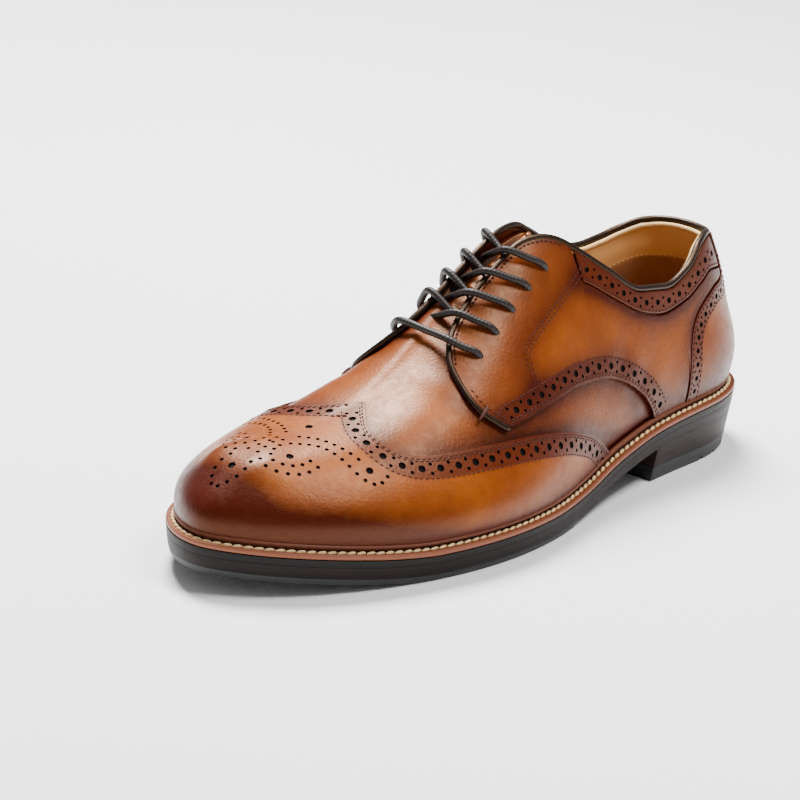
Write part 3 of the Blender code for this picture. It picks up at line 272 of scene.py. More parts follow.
@dataclass(frozen=True)
class Last:
    """The wooden form that the upper is drawn over, with the sole's outline under it."""

    length: float = 305 * MM
    ball_width: float = 108 * MM
    heel_height: float = 26.5 * MM
    toe_spring: float = 8 * MM
    instep_rise: float = 92 * MM
    sole_stack: float = 12.2 * MM
    welt_width: float = 6.0 * MM

    def outline(self, inset: ArrayLike, turns: ArrayLike) -> np.ndarray:
        """Sole's outline moved inward.

        Args:
            inset: Distance inward, one or one for each turn.
            turns: Signed turns.

        Returns:
            Points in plan.
        """
        fine = np.linspace(-math.pi, math.pi, 2161)
        knots = turn_of(SOLE_PLAN["station"])
        lateral, medial = np.array(SOLE_PLAN["lateral"]), np.array(SOLE_PLAN["medial"])
        before, after, full = slice(-4, -1), slice(-2, -5, -1), 2 * math.pi
        places = np.concatenate([knots[before] - full, -knots[::-1], knots[1:], full - knots[after]])
        loop = np.concatenate([lateral[before], -medial[::-1], lateral[1:], -medial[after]])
        x = self.length * station_of(fine)
        y = self.ball_width * smooth(fine, places, loop, free=True)
        dx, dy = np.gradient(x), np.gradient(y)
        run = np.hypot(dx, dy) + 1e-12
        px = np.interp(turns, fine, x) + inset * np.interp(turns, fine, dy / run)
        py = np.interp(turns, fine, y) - inset * np.interp(turns, fine, dx / run)
        return np.stack([px, py], -1)

    def outward(self, turns: np.ndarray) -> np.ndarray:
        """Outward direction of the outline in plan.

        Args:
            turns: Signed turns.

        Returns:
            A unit vector for each turn.
        """
        step = 0.004
        along = unit(self.outline(0, wrapped(turns + step)) - self.outline(0, wrapped(turns - step)))
        return np.stack([-along[:, 1], along[:, 0]], -1)

    def centre(self) -> np.ndarray:
        """Middle of the outline, which the frame has over its origin.

        Returns:
            Place on the floor.
        """
        side = np.linspace(0, math.pi, 35)
        edge = self.outline(0, np.concatenate([side, -side[-2:0:-1]]))
        return np.append((edge.max(axis=0) + edge.min(axis=0)) / 2, 0)

    def welt_top(self, x: ArrayLike) -> np.ndarray:
        """Height of the welt's top at a distance from the heel.

        Args:
            x: Distances.

        Returns:
            Heights over the floor.
        """
        station = np.clip(np.asarray(x, float) / self.length, 0, 1)
        heel = (self.heel_height - self.sole_stack) * read(SIDE_PROFILE, station, "heel")
        return self.sole_stack + heel + self.toe_spring * read(SIDE_PROFILE, station, "spring")

    def levels(self, turns: np.ndarray) -> np.ndarray:
        """Five points of the skin at each turn, from the welt line to the ridge.

        Args:
            turns: Signed turns.

        Returns:
            Points, one row of five for each turn.
        """
        stations = station_of(turns)
        lateral = turns >= 0

        def column(name: str) -> np.ndarray:
            """One column of the last's table."""
            return smooth(turn_of(stations), turn_of(LAST["station"]), LAST[name])

        foot, away = self.outline(self.welt_width, turns), self.outward(turns)
        base = self.welt_top(foot[:, 0])
        ridge_y = self.ball_width * column("ridge_side")
        points = np.zeros((len(turns), 5, 3))
        points[:, 0, :2], points[:, 0, 2] = foot, base
        out = np.where(lateral, column("side_out_lat"), column("side_out_med"))
        points[:, 1, :2] = foot + away * (out * self.ball_width)[:, None]
        points[:, 1, 2] = base + self.instep_rise * column("side_rise")
        for level, name in ((2, "shoulder"), (3, "crown")):
            share = np.where(lateral, column(name + "_lat"), column(name + "_med"))
            points[:, level, 0] = foot[:, 0] - self.length * column(name + "_back")
            points[:, level, 1] = ridge_y + (foot[:, 1] - ridge_y) * share
            points[:, level, 2] = base + self.instep_rise * column(name + "_rise")
        points[:, 4, 0] = foot[:, 0] - self.length * column("ridge_back")
        points[:, 4, 1] = ridge_y
        points[:, 4, 2] = base + self.instep_rise * column("ridge_rise")
        return points

    def skin(self, turns: ArrayLike, heights: ArrayLike) -> np.ndarray:
        """Points of the last's skin at signed turns and heights from welt line to ridge.

        Args:
            turns: Signed turns.
            heights: Heights from the welt line to the ridge.

        Returns:
            Points.
        """
        turns, heights = np.broadcast_arrays(np.asarray(turns, float), np.asarray(heights, float))
        flat = wrapped(turns.ravel())
        places, index = np.unique(np.round(flat, 9), return_inverse=True)
        this_side, other_side = self.levels(places), self.levels(-places)
        other_side[:, 4] = this_side[:, 4]
        section = np.concatenate([this_side, other_side[:, 3::-1]], axis=1)[index]
        knots = np.concatenate([LEVELS, 2 - np.array(LEVELS[3::-1])])
        weights = smooth(heights.ravel(), knots, np.eye(9), free=True)
        return np.einsum("nk,nkc->nc", weights, section).reshape(turns.shape + (3,))

    def normal(self, turns: ArrayLike, heights: ArrayLike) -> np.ndarray:
        """Outward unit normals of the skin.

        Args:
            turns: Signed turns.
            heights: Heights from the welt line to the ridge.

        Returns:
            A unit vector for each point.
        """
        turns, heights = np.broadcast_arrays(np.asarray(turns, float), np.asarray(heights, float))
        step = 0.01
        heights = np.where(np.abs(turns) > turn_of(0.97), np.minimum(heights, 0.96), heights)
        along = self.skin(turns + step, heights) - self.skin(turns - step, heights)
        up = self.skin(turns, heights + step) - self.skin(turns, heights - step)
        return -unit(np.cross(along, up))

    def crease(self, turns: np.ndarray, heights: np.ndarray) -> np.ndarray:
        """How far the soft troughs sink the skin.

        Args:
            turns: Signed turns.
            heights: Heights from the welt line to the ridge.

        Returns:
            Depths.
        """
        stations, sunk = station_of(turns), np.zeros(np.shape(turns))
        for s, h, lean, depth, along, up in zip(*CREASES.values()):
            offset = (stations - s - lean * (heights - h)) / along
            ridge = 0.45 * np.exp(-(((np.abs(offset) - 2.1) / 0.9) ** 2))
            fade = np.exp(-(((heights - h) / up) ** 2))
            sunk = sunk + depth * MM * (np.exp(-(offset**2)) - ridge) * fade
        return sunk

    def raised(self, turns: ArrayLike, heights: ArrayLike, lift: ArrayLike) -> np.ndarray:
        """Points at a distance outside the skin, with its creases.

        Args:
            turns: Signed turns.
            heights: Heights from the welt line to the ridge.
            lift: Distance outside the skin.

        Returns:
            Points in the last's frame.
        """
        turns, heights = np.broadcast_arrays(np.asarray(turns, float), np.asarray(heights, float))
        rise = np.broadcast_to(lift, turns.shape) - self.crease(turns, heights)
        return self.skin(turns, heights) + self.normal(turns, heights) * rise[..., None]

    def height_above_welt(self, turns: np.ndarray, rise: float) -> np.ndarray:
        """Height on the skin that lies a real rise above the welt line.

        Args:
            turns: Signed turns.
            rise: The real rise.

        Returns:
            A height for each turn.
        """
        steps = np.linspace(0, LEVELS[1], 9)
        columns = self.skin(np.repeat(turns[:, None], 9, 1), np.tile(steps, (len(turns), 1)))[..., 2]
        return np.array([np.interp(rise, column - column[0], steps) for column in columns])


@dataclass
class Path:
    """A line on the skin, as signed turns and heights."""

    last: Last
    turns: np.ndarray
    heights: np.ndarray

    @classmethod
    def cut(cls, last: Last, side: Side, table: dict, stations: np.ndarray, column: str = "height") -> "Path":
        """A table's cut line on one side, read at stations."""
        return cls(last, side.value * turn_of(stations), read(table, stations, column))

    def points(self, lift: float = 0.0) -> np.ndarray:
        """Its points, lifted off the skin."""
        return self.last.raised(self.turns, self.heights, lift)

    def normals(self) -> np.ndarray:
        """The skin's normals along it."""
        return self.last.normal(self.turns, self.heights)

    def spaced(self, pitch: float, start: float = 0.0, end: float = 0.0) -> "Path":
        """The same line with points at an even pitch.

        Args:
            pitch: Distance between points.
            start: Length left out at its start.
            end: Length left out at its end.

        Returns:
            A new path.
        """
        run = run_of(self.points())
        count = max(2, round((run[-1] - start - end) / pitch) + 1)
        places = np.linspace(start, run[-1] - end, count)
        return Path(self.last, np.interp(places, run, self.turns), np.interp(places, run, self.heights))

    def beside(self, distance: float) -> "Path":
        """The line moved sideways on the skin, to the left of its run seen from outside.

        Args:
            distance: How far, with a minus sign to the right.

        Returns:
            The moved line.
        """
        turns, heights = self.turns.copy(), self.heights.copy()
        steps = 4
        eps = 0.002
        for _ in range(steps):
            here = self.last.skin(turns, heights)
            along = unit(np.gradient(here, axis=0))
            side = np.cross(self.last.normal(turns, heights), along)
            by_turn = (self.last.skin(turns + eps, heights) - here) / eps
            by_height = (self.last.skin(turns, heights + eps) - here) / eps
            a, b = (by_turn**2).sum(-1), (by_turn * by_height).sum(-1)
            c = (by_height**2).sum(-1)
            p, q = (by_turn * side).sum(-1), (by_height * side).sum(-1)
            det = np.maximum(a * c - b * b, 1e-12)
            turns = turns + (c * p - b * q) / det * distance / steps
            heights = heights + (a * q - b * p) / det * distance / steps
        return Path(self.last, turns, heights)


# Meshes
CENTRE = Last().centre()


def free_selection() -> None:
    """Deselect everything."""
    for thing in bpy.context.selected_objects:
        thing.select_set(False)


def make_active(thing: bpy.types.Object) -> None:
    """Select one object alone and make it the active one.

    Args:
        thing: The object.
    """
    free_selection()
    thing.select_set(True)
    bpy.context.view_layer.objects.active = thing


def apply_modifier(thing: bpy.types.Object, kind: str, **settings: Any) -> None:
    """Add a modifier, set it and apply it.

    Args:
        thing: The piece.
        kind: The modifier's type.
        settings: Its attributes.
    """
    make_active(thing)
    step = thing.modifiers.new(kind.lower(), kind)
    for name, value in settings.items():
        setattr(step, name, value)
    bpy.ops.object.modifier_apply(modifier=step.name)


def soften(thing: bpy.types.Object, width: float, segments: int = 3, degrees: float = 55) -> None:
    """Bevel the edges that are sharper than an angle."""
    sharp = math.radians(degrees)
    apply_modifier(thing, "BEVEL", width=width, segments=segments, limit_method="ANGLE", angle_limit=sharp)


def edit_all(thing: bpy.types.Object, operator: Callable, **settings: Any) -> None:
    """Run one operator on a whole mesh in edit mode.

    Args:
        thing: The piece.
        operator: The operator.
        settings: What it is called with.
    """
    make_active(thing)
    bpy.ops.object.mode_set(mode="EDIT")
    bpy.ops.mesh.select_all(action="SELECT")
    operator(**settings)
    bpy.ops.object.mode_set(mode="OBJECT")


def places_of(thing: bpy.types.Object) -> np.ndarray:
    """Places of a mesh's vertices.

    Args:
        thing: The piece.

    Returns:
        A row for each vertex.
    """
    places = np.zeros(len(thing.data.vertices) * 3)
    thing.data.vertices.foreach_get("co", places)
    return places.reshape(-1, 3)


def stored(thing: bpy.types.Object, name: str) -> np.ndarray:
    """The number stored at each vertex.

    Args:
        thing: The piece.
        name: The number's name.

    Returns:
        A number for each vertex.
    """
    values = np.zeros(len(thing.data.vertices), dtype=np.float32)
    thing.data.attributes[name].data.foreach_get("value", values)
    return values


def store(thing: bpy.types.Object, name: str, values: ArrayLike) -> None:
    """Store one number at each vertex.

    Args:
        thing: The piece.
        name: The number's name.
        values: One for each vertex, or one for all.
    """
    layer = thing.data.attributes.get(name) or thing.data.attributes.new(name, "FLOAT", "POINT")
    spread = np.broadcast_to(values, (len(thing.data.vertices),))
    layer.data.foreach_set("value", np.ascontiguousarray(spread, dtype=np.float32))


def from_arrays(name: str, vertices: np.ndarray, faces: list) -> bpy.types.Object:
    """Object from vertices and faces.

    Args:
        name: The piece's name.
        vertices: Points in the last's frame.
        faces: Vertex numbers of each face.

    Returns:
        The new object.
    """
    mesh = bpy.data.meshes.new(name)
    mesh.from_pydata((vertices - CENTRE).tolist(), [], faces)
    mesh.validate()
    thing = bpy.data.objects.new(name, mesh)
    bpy.context.scene.collection.objects.link(thing)
    return thing


def sheet(name: str, points: np.ndarray) -> bpy.types.Object:
    """Grid laid through rows of points, with its faces turned outward.

    Args:
        name: The piece's name.
        points: Columns along the shoe of rows up the side.

    Returns:
        The grid as an object, open at its rim.
    """
    columns, rows = points.shape[:2]
    free_selection()
    bpy.ops.mesh.primitive_grid_add(x_subdivisions=columns - 1, y_subdivisions=rows - 1, size=1)
    thing = bpy.context.active_object
    thing.name = thing.data.name = name
    flat = (points - CENTRE).transpose(1, 0, 2).reshape(-1, 3)
    thing.data.vertices.foreach_set("co", flat.astype(np.float32).ravel())
    thing.data.update()
    return thing


def tree_of(points: ArrayLike) -> KDTree:
    """Tree that finds the nearest of some points.

    Args:
        points: The points.

    Returns:
        The tree, ready to be asked.
    """
    tree = KDTree(len(points))
    for index, point in enumerate(points):
        tree.insert(point, index)
    tree.balance()
    return tree


def turn_outward(thing: bpy.types.Object) -> None:
    """Recalculate a closed piece's normals, to the outside."""
    edit_all(thing, bpy.ops.mesh.normals_make_consistent, inside=False)


def turn_sheet(thing: bpy.types.Object, place: np.ndarray, outward: np.ndarray) -> None:
    """Flip an open sheet whose faces look inward.

    Args:
        thing: The sheet.
        place: A point on it, in the last's frame.
        outward: Direction outward there.
    """
    here = Vector(place - CENTRE)
    nearest = min(thing.data.polygons, key=lambda face: (face.center - here).length_squared)
    if nearest.normal.dot(Vector(outward)) < 0:
        edit_all(thing, bpy.ops.mesh.flip_normals)


def merge_close(thing: bpy.types.Object, distance: float = 0.02 * MM) -> None:
    """Merge vertices that lie on each other."""
    edit_all(thing, bpy.ops.mesh.remove_doubles, threshold=distance)


def shade(thing: bpy.types.Object, degrees: float = 40) -> None:
    """Shade smooth, with edges sharper than an angle kept."""
    make_active(thing)
    bpy.ops.object.shade_smooth_by_angle(angle=math.radians(degrees))


def hand_over(thing: bpy.types.Object, finish: bpy.types.Material | None, slot: str, *nodes: str) -> None:
    """Give a piece its finish and body, and hide the solids that it stands for.

    Args:
        thing: The piece.
        finish: Its material, or none where it has its own already.
        slot: The finish slot; not used.
        nodes: Names of the solids.
    """
    if finish:
        thing.data.materials.clear()
        thing.data.materials.append(finish)
    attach(thing, BODY)
    if nodes:
        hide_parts(*nodes)
    log.info("%s: %d faces", thing.name, len(thing.data.polygons))


def tube(name: str, points: np.ndarray, radius: ArrayLike, sides: int = 16) -> bpy.types.Object:
    """Round tube through points, with its run and its turn stored for patterns.

    Args:
        name: The piece's name.
        points: Centre line in the last's frame.
        radius: One radius, or one for each point.
        sides: Faces round it.

    Returns:
        The capped tube.
    """
    count = len(points)
    tangent = unit(np.gradient(points, axis=0))
    side = unit(np.cross(tangent[0], (0.3, 0.2, 0.93)))
    frames = []
    for t in tangent:
        side = unit(side - t * (side @ t))
        frames.append(side)
    first = np.array(frames)
    second = np.cross(tangent, first)
    angle = np.linspace(0, 2 * math.pi, sides, endpoint=False)
    ring = first[:, None] * np.cos(angle)[None, :, None] + second[:, None] * np.sin(angle)[None, :, None]
    width = np.broadcast_to(radius, (count,))[:, None, None]
    vertices = (points[:, None] + ring * width).reshape(-1, 3)
    faces = [tuple(range(sides))[::-1], tuple((count - 1) * sides + k for k in range(sides))]
    for i in range(count - 1):
        for k in range(sides):
            m = (k + 1) % sides
            faces.append((i * sides + k, i * sides + m, (i + 1) * sides + m, (i + 1) * sides + k))
    thing = from_arrays(name, vertices, faces)
    store(thing, "run", np.repeat(run_of(points), sides))
    store(thing, "round", np.tile(angle, count))
    turn_outward(thing)
    shade(thing, 60)
    return thing


class Template:
    """One small thing that is modelled once and copied many times into one mesh."""

    def __init__(self, thing: bpy.types.Object) -> None:
        """Read the model and remove it.

        Args:
            thing: The model.
        """
        self.points = places_of(thing)
        self.faces = [tuple(face.vertices) for face in thing.data.polygons]
        bpy.data.objects.remove(thing, do_unlink=True)

    @classmethod
    def thread(cls) -> "Template":
        """A stitch of thread: a long bead with its ends bent down.

        Returns:
            The bead, 1 long and 1 wide.
        """
        free_selection()
        lying = (0, math.pi / 2, 0)
        bpy.ops.mesh.primitive_uv_sphere_add(segments=8, ring_count=6, radius=0.5, rotation=lying)
        bpy.ops.object.transform_apply(rotation=True)
        bead = bpy.context.active_object
        for vertex in bead.data.vertices:
            vertex.co.z -= 0.9 * abs(vertex.co.x) ** 2.5
        return cls(bead)

    @classmethod
    def rod(cls, sides: int) -> "Template":
        """An upright rod, from 0 to 1 in height.

        Args:
            sides: Faces round it.

        Returns:
            The rod, 1 wide.
        """
        free_selection()
        bpy.ops.mesh.primitive_cylinder_add(vertices=sides, radius=0.5, depth=1, location=(0, 0, 0.5))
        bpy.ops.object.transform_apply(location=True)
        return cls(bpy.context.active_object)

    @classmethod
    def disc(cls, sides: int) -> "Template":
        """A flat round face.

        Args:
            sides: Edges round it.

        Returns:
            The face, 1 wide.
        """
        free_selection()
        bpy.ops.mesh.primitive_circle_add(vertices=sides, radius=0.5, fill_type="NGON")
        return cls(bpy.context.active_object)

    def copies(self, name: str, spots: list) -> bpy.types.Object:
        """Joined mesh of copies.

        Args:
            name: The piece's name.
            spots: Rows of place, long axis, up axis, and sizes along, across and up.

        Returns:
            The joined copies as one object.
        """
        place, along, up = (np.array([s[i] for s in spots]) for i in range(3))
        size = np.array([s[3] for s in spots])
        along = unit(along - up * (along * up).sum(-1, keepdims=True))
        across = np.cross(up, along)
        local = self.points[None] * size[:, None]
        world = place[:, None] + local[..., :1] * along[:, None]
        world = world + local[..., 1:2] * across[:, None] + local[..., 2:] * up[:, None]
        count = len(self.points)
        faces = [tuple(v + i * count for v in face) for i in range(len(spots)) for face in self.faces]
        thing = from_arrays(name, world.reshape(-1, 3), faces)
        shade(thing, 50)
        return thing


# Finishes
def linear(colour: str) -> tuple:
    """Linear colour from an sRGB hex value."""
    parts = (int(colour[i : i + 2], 16) / 255 for i in (1, 3, 5))
    return tuple(p / 12.92 if p <= 0.04045 else ((p + 0.055) / 1.055) ** 2.4 for p in parts) + (1.0,)


def per_metre(millimetres: float) -> float:
    """Scale of a pattern whose cells are that wide."""
    return 1 / (millimetres * MM)


class Surface:
    """A finish while it is put together on its shader."""

    def __init__(self, name: str) -> None:
        """Start a material that is named for the real one.

        Args:
            name: Its name.
        """
        self.material = bpy.data.materials.new(name)
        self.material.use_nodes = True
        self.tree = self.material.node_tree
        self.place = self.node("TexCoord", "Object")

    def wire(self, target: bpy.types.Node, inputs: dict) -> None:
        """Put values or other nodes' outputs on a node's sockets.

        Args:
            target: The node.
            inputs: Socket names or numbers, each with a value or an output.
        """
        for name, value in inputs.items():
            if isinstance(value, bpy.types.NodeSocket):
                self.tree.links.new(value, target.inputs[name])
            else:
                target.inputs[name].default_value = value

    def node(
        self, kind: str, output: str | int, inputs: dict | None = None, **settings: Any
    ) -> bpy.types.NodeSocket:
        """Add a node with its settings and links.

        Args:
            kind: The node's type, after the words that all of them start with.
            output: Which of its outputs is wanted.
            inputs: Socket names or numbers, each with a value or another node's output.
            settings: Attributes of the node.

        Returns:
            The output.
        """
        new = self.tree.nodes.new("ShaderNode" + kind)
        for name, value in settings.items():
            setattr(new, name, value)
        self.wire(new, inputs or {})
        return new.outputs[output]

    def cloud(self, millimetres: float, detail: float, rough: float) -> dict:
        """Inputs of a cloudy pattern with patches of a real size."""
        scale = per_metre(millimetres)
        return {"Vector": self.place, "Scale": scale, "Detail": detail, "Roughness": rough}

    def patches(self, millimetres: float, detail: float, rough: float, span: tuple) -> bpy.types.NodeSocket:
        """Cloudy unevenness of a real size.

        Args:
            millimetres: Width of a patch.
            detail: How many finer clouds lie in it.
            rough: How strong those are.
            span: Lowest and highest value read, and what they become where that isn't 0 and 1.

        Returns:
            The unevenness.
        """
        cloud = self.node("TexNoise", "Fac", self.cloud(millimetres, detail, rough))
        return self.node("MapRange", 0, dict(enumerate((cloud, *span))))

    def relief(self, *layers: tuple, under: bpy.types.NodeSocket | None = None) -> bpy.types.NodeSocket:
        """Relief of clouds of real sizes, one on the other.

        Args:
            layers: Width of a patch, detail, roughness, strength and depth of each, the lowest first.
            under: Relief that lies below them.

        Returns:
            The surface's normal.
        """
        for millimetres, detail, rough, strength, depth in layers:
            height = self.node("TexNoise", "Fac", self.cloud(millimetres, detail, rough))
            below = {"Normal": under} if under else {}
            inputs = {"Height": height, "Strength": strength, "Distance": depth} | below
            under = self.node("Bump", "Normal", inputs)
        return under

    def dress(self, share: bpy.types.NodeSocket, low: str, high: str, gloss: dict) -> bpy.types.Material:
        """Dye the surface between two colours and set the rest of its shader.

        Args:
            share: Share of the second colour.
            low: First colour.
            high: Second colour.
            gloss: The shader's other sockets.

        Returns:
            The material.
        """
        dye = self.node("Mix", 2, {0: share, 6: linear(low), 7: linear(high)}, data_type="RGBA")
        self.wire(self.tree.nodes["Principled BSDF"], {"Base Color": dye} | gloss)
        return self.material


@dataclass(frozen=True)
class Calf:
    """Burnished calf: aniline-dyed box calf, waxed and polished darker at toe, heel and seams, with painted
    shade in the same dark dye low on the sides and under the arch.
    """

    name: str = "burnished_calf"
    tan: str = "#743203"
    light: str = "#8C4406"
    russet: str = "#4A1403"
    deep: str = "#3A0600"
    shine: str = "#FFC490"
    grain: float = 1.0
    gloss: float = 0.37

    def make(self) -> bpy.types.Material:
        """Build the material.

        Returns:
            Leather with cloudy dye, dark wax polish and painted shade by attribute, fine grain and a wax
            coat.
        """
        surface = Surface(self.name)
        cloud = surface.patches(28, 4, 0.6, (0.35, 0.68))
        band = surface.node("Attribute", "Fac", attribute_name="band")
        seam = surface.node("Math", 0, {0: band, 1: 0.95}, operation="MULTIPLY")
        smoke = surface.patches(11, 3, 0.55, (0.3, 0.7, -0.07, 0.07))
        # this attribute holds the wax polish and the painted shade low on the sides and under the arch; both
        # take the deep dye
        burnish = surface.node("Attribute", "Fac", attribute_name="burnish")
        dark = surface.node("Math", 0, {0: burnish, 1: smoke}, operation="ADD", use_clamp=True)
        dark = surface.node("MapRange", 0, {0: dark, 1: 0.08, 2: 0.84})
        body = linear(self.tan)
        for share, dye in ((cloud, self.light), (seam, self.russet), (dark, self.deep)):
            body = surface.node("Mix", 2, {0: share, 6: body, 7: linear(dye)}, data_type="RGBA")
        speck = surface.patches(1.3, 2, 0.5, (0.3, 0.75, 0.94, 1.05))
        # grain of the hide about 1 mm, drawn that coarse so that it shows
        voronoi = {"Vector": surface.place, "Scale": per_metre(1.0)}
        cells = surface.node("TexVoronoi", "Distance", voronoi, feature="SMOOTH_F1")
        pebbles = {"Height": cells, "Strength": 0.55 * self.grain, "Distance": 0.12 * MM}
        pebble = surface.node("Bump", "Normal", pebbles)
        gloss = {
            "Base Color": surface.node("HueSaturation", "Color", {"Color": body, "Value": speck}),
            "Normal": surface.relief((4, 5, 0.65, 0.26 * self.grain, 0.25 * MM), under=pebble),
            "Roughness": surface.patches(3.2, 3, 0.5, (0.3, 0.7, self.gloss - 0.04, self.gloss + 0.09)),
            # the dyed wax on the grain warms its own highlights
            "Specular Tint": linear(self.shine),
            "Specular IOR Level": 0.36,
            "Coat Weight": 0.05,
            "Coat Roughness": 0.28,
        }
        surface.wire(surface.tree.nodes["Principled BSDF"], gloss)
        return surface.material


@dataclass(frozen=True)
class Lining:
    """Lining: vegetable-tanned sheepskin at the collar, with a brushed, duller nap below it."""

    name: str = "sheepskin_lining"
    collar: str = "#D09650"
    nap: str = "#84501F"

    def make(self) -> bpy.types.Material:
        """Build the material: soft tan leather, lighter where the collar attribute is high.

        Returns:
            The material.
        """
        surface = Surface(self.name)
        cloud = surface.patches(12, 4, 0.6, (0.3, 0.7, -0.15, 0.15))
        collar = surface.node("Attribute", "Fac", attribute_name="collar")
        share = surface.node("Math", 0, {0: collar, 1: cloud}, operation="ADD", use_clamp=True)
        nap = surface.relief((0.8, 4, 0.7, 0.35, 0.12 * MM), (7, 3, 0.5, 0.3, 0.5 * MM))
        gloss = {"Normal": nap, "Roughness": 0.72, "Sheen Weight": 0.15}
        return surface.dress(share, self.nap, self.collar, gloss)


@dataclass(frozen=True)
class WeltLeather:
    """Storm welt: bridle leather, dyed tan, cut and waxed, so that its faces show fine fibre."""

    name: str = "welt_leather"
    tan: str = "#7A3A12"
    brown: str = "#34140A"

    def make(self) -> bpy.types.Material:
        """Build the material: tan leather, browner where the rib attribute is high; the attribute also keeps
        a painted highlight on the rib's top.

        Returns:
            The material.
        """
        surface = Surface(self.name)
        fibre = surface.patches(1.5, 4, 0.7, (0.3, 0.7, -0.15, 0.15))
        rib = surface.node("Attribute", "Fac", attribute_name="rib")
        share = surface.node("Math", 0, {0: rib, 1: fibre}, operation="ADD", use_clamp=True)
        cut = surface.relief((0.7, 4, 0.7, 0.4, 0.12 * MM))
        return surface.dress(share, self.tan, self.brown, {"Normal": cut, "Roughness": 0.5})


@dataclass(frozen=True)
class EdgeDressing:
    """Sole edge: stacked leather, ground flat and inked, so that its layers show as faint stripes."""

    name: str
    dark: str
    pale: str
    layer_mm: float = 0.0

    def make(self) -> bpy.types.Material:
        """Build the material: dark edge, striped by the depth attribute where it has layers.

        Returns:
            The material.
        """
        surface = Surface(self.name)
        surface.place = surface.node("Mapping", 0, {"Vector": surface.place, "Scale": (0.12, 0.12, 1.0)})
        share = surface.patches(1.6, 5, 0.7, (0.32, 0.68, 0.0, 0.55))
        if self.layer_mm:
            line = surface.node("Attribute", "Fac", attribute_name="depth")
            steps = (("DIVIDE", self.layer_mm * MM), ("FRACT", 0), ("SUBTRACT", 0.5), ("ABSOLUTE", 0))
            for operation, number in steps:
                line = surface.node("Math", 0, {0: line, 1: number}, operation=operation)
            stripe = surface.node("MapRange", 0, {0: line, 1: 0.40, 2: 0.5, 3: 0.0, 4: 0.6})
            share = surface.node("Math", 0, {0: share, 1: stripe}, operation="ADD", use_clamp=True)
        fibre = surface.relief((1.6, 5, 0.7, 0.25, 0.10 * MM))
        gloss = {"Normal": fibre, "Roughness": 0.5, "Specular IOR Level": 0.17}
        return surface.dress(share, self.dark, self.pale, gloss)


@dataclass(frozen=True)
class Cord:
    """Waxed lace: braided cotton, whose strands catch light in slanting beads."""

    name: str
    colour: str
    shade: str
    ply_mm: float

    def make(self) -> bpy.types.Material:
        """Build the material, its strands following the run and round attributes of a tube.

        Returns:
            The material.
        """
        surface = Surface(self.name)
        ways = []
        for name, scale in (("run", 2 * math.pi / (self.ply_mm * MM)), ("round", 3.0)):
            way = surface.node("Attribute", "Fac", attribute_name=name)
            ways.append(surface.node("Math", 0, {0: way, 1: scale}, operation="MULTIPLY"))
        strands = []
        for slant in ("ADD", "SUBTRACT"):
            angle = surface.node("Math", 0, dict(enumerate(ways)), operation=slant)
            strands.append(surface.node("Math", 0, {0: angle}, operation="SINE"))
        braid = surface.node("Math", 0, dict(enumerate(strands)), operation="MAXIMUM")
        # painted shade: the darker shade colour lies in the grooves between the strands, the lace's own
        # colour on their crests
        share = surface.node("MapRange", 0, {0: braid, 1: -0.2, 2: 1.0})
        beads = surface.node("Bump", "Normal", {"Height": braid, "Strength": 0.4, "Distance": 0.10 * MM})
        gloss = {"Normal": beads, "Roughness": 0.5, "Specular IOR Level": 0.35}
        return surface.dress(share, self.shade, self.colour, gloss)


@dataclass(frozen=True)
class Thread:
    """Sewing thread: waxed polyester, too fine to show its twist, so it is a soft dull bead."""

    name: str
    colour: str
    shade: str
    roughness: float = 0.6

    def make(self) -> bpy.types.Material:
        """Build the material: thread with a little unevenness in its dye.

        Returns:
            The material.
        """
        surface = Surface(self.name)
        gloss = {"Roughness": self.roughness, "Specular IOR Level": 0.2}
        return surface.dress(surface.patches(1.1, 2, 0.5, (0.3, 0.7)), self.shade, self.colour, gloss)


@dataclass(frozen=True)
class Rubber:
    """Black rubber: moulded, with a dull fine-pored skin."""

    name: str = "black_rubber"
    dark: str = "#0A0A0B"
    pale: str = "#131415"

    def make(self) -> bpy.types.Material:
        """Build the material: dull near-black rubber with a little dust.

        Returns:
            The material.
        """
        surface = Surface(self.name)
        gloss = {"Normal": surface.relief((0.6, 2, 0.5, 0.2, 0.08 * MM)), "Roughness": 0.55}
        return surface.dress(surface.patches(6, 4, 0.5, (0.3, 0.75)), self.dark, self.pale, gloss)


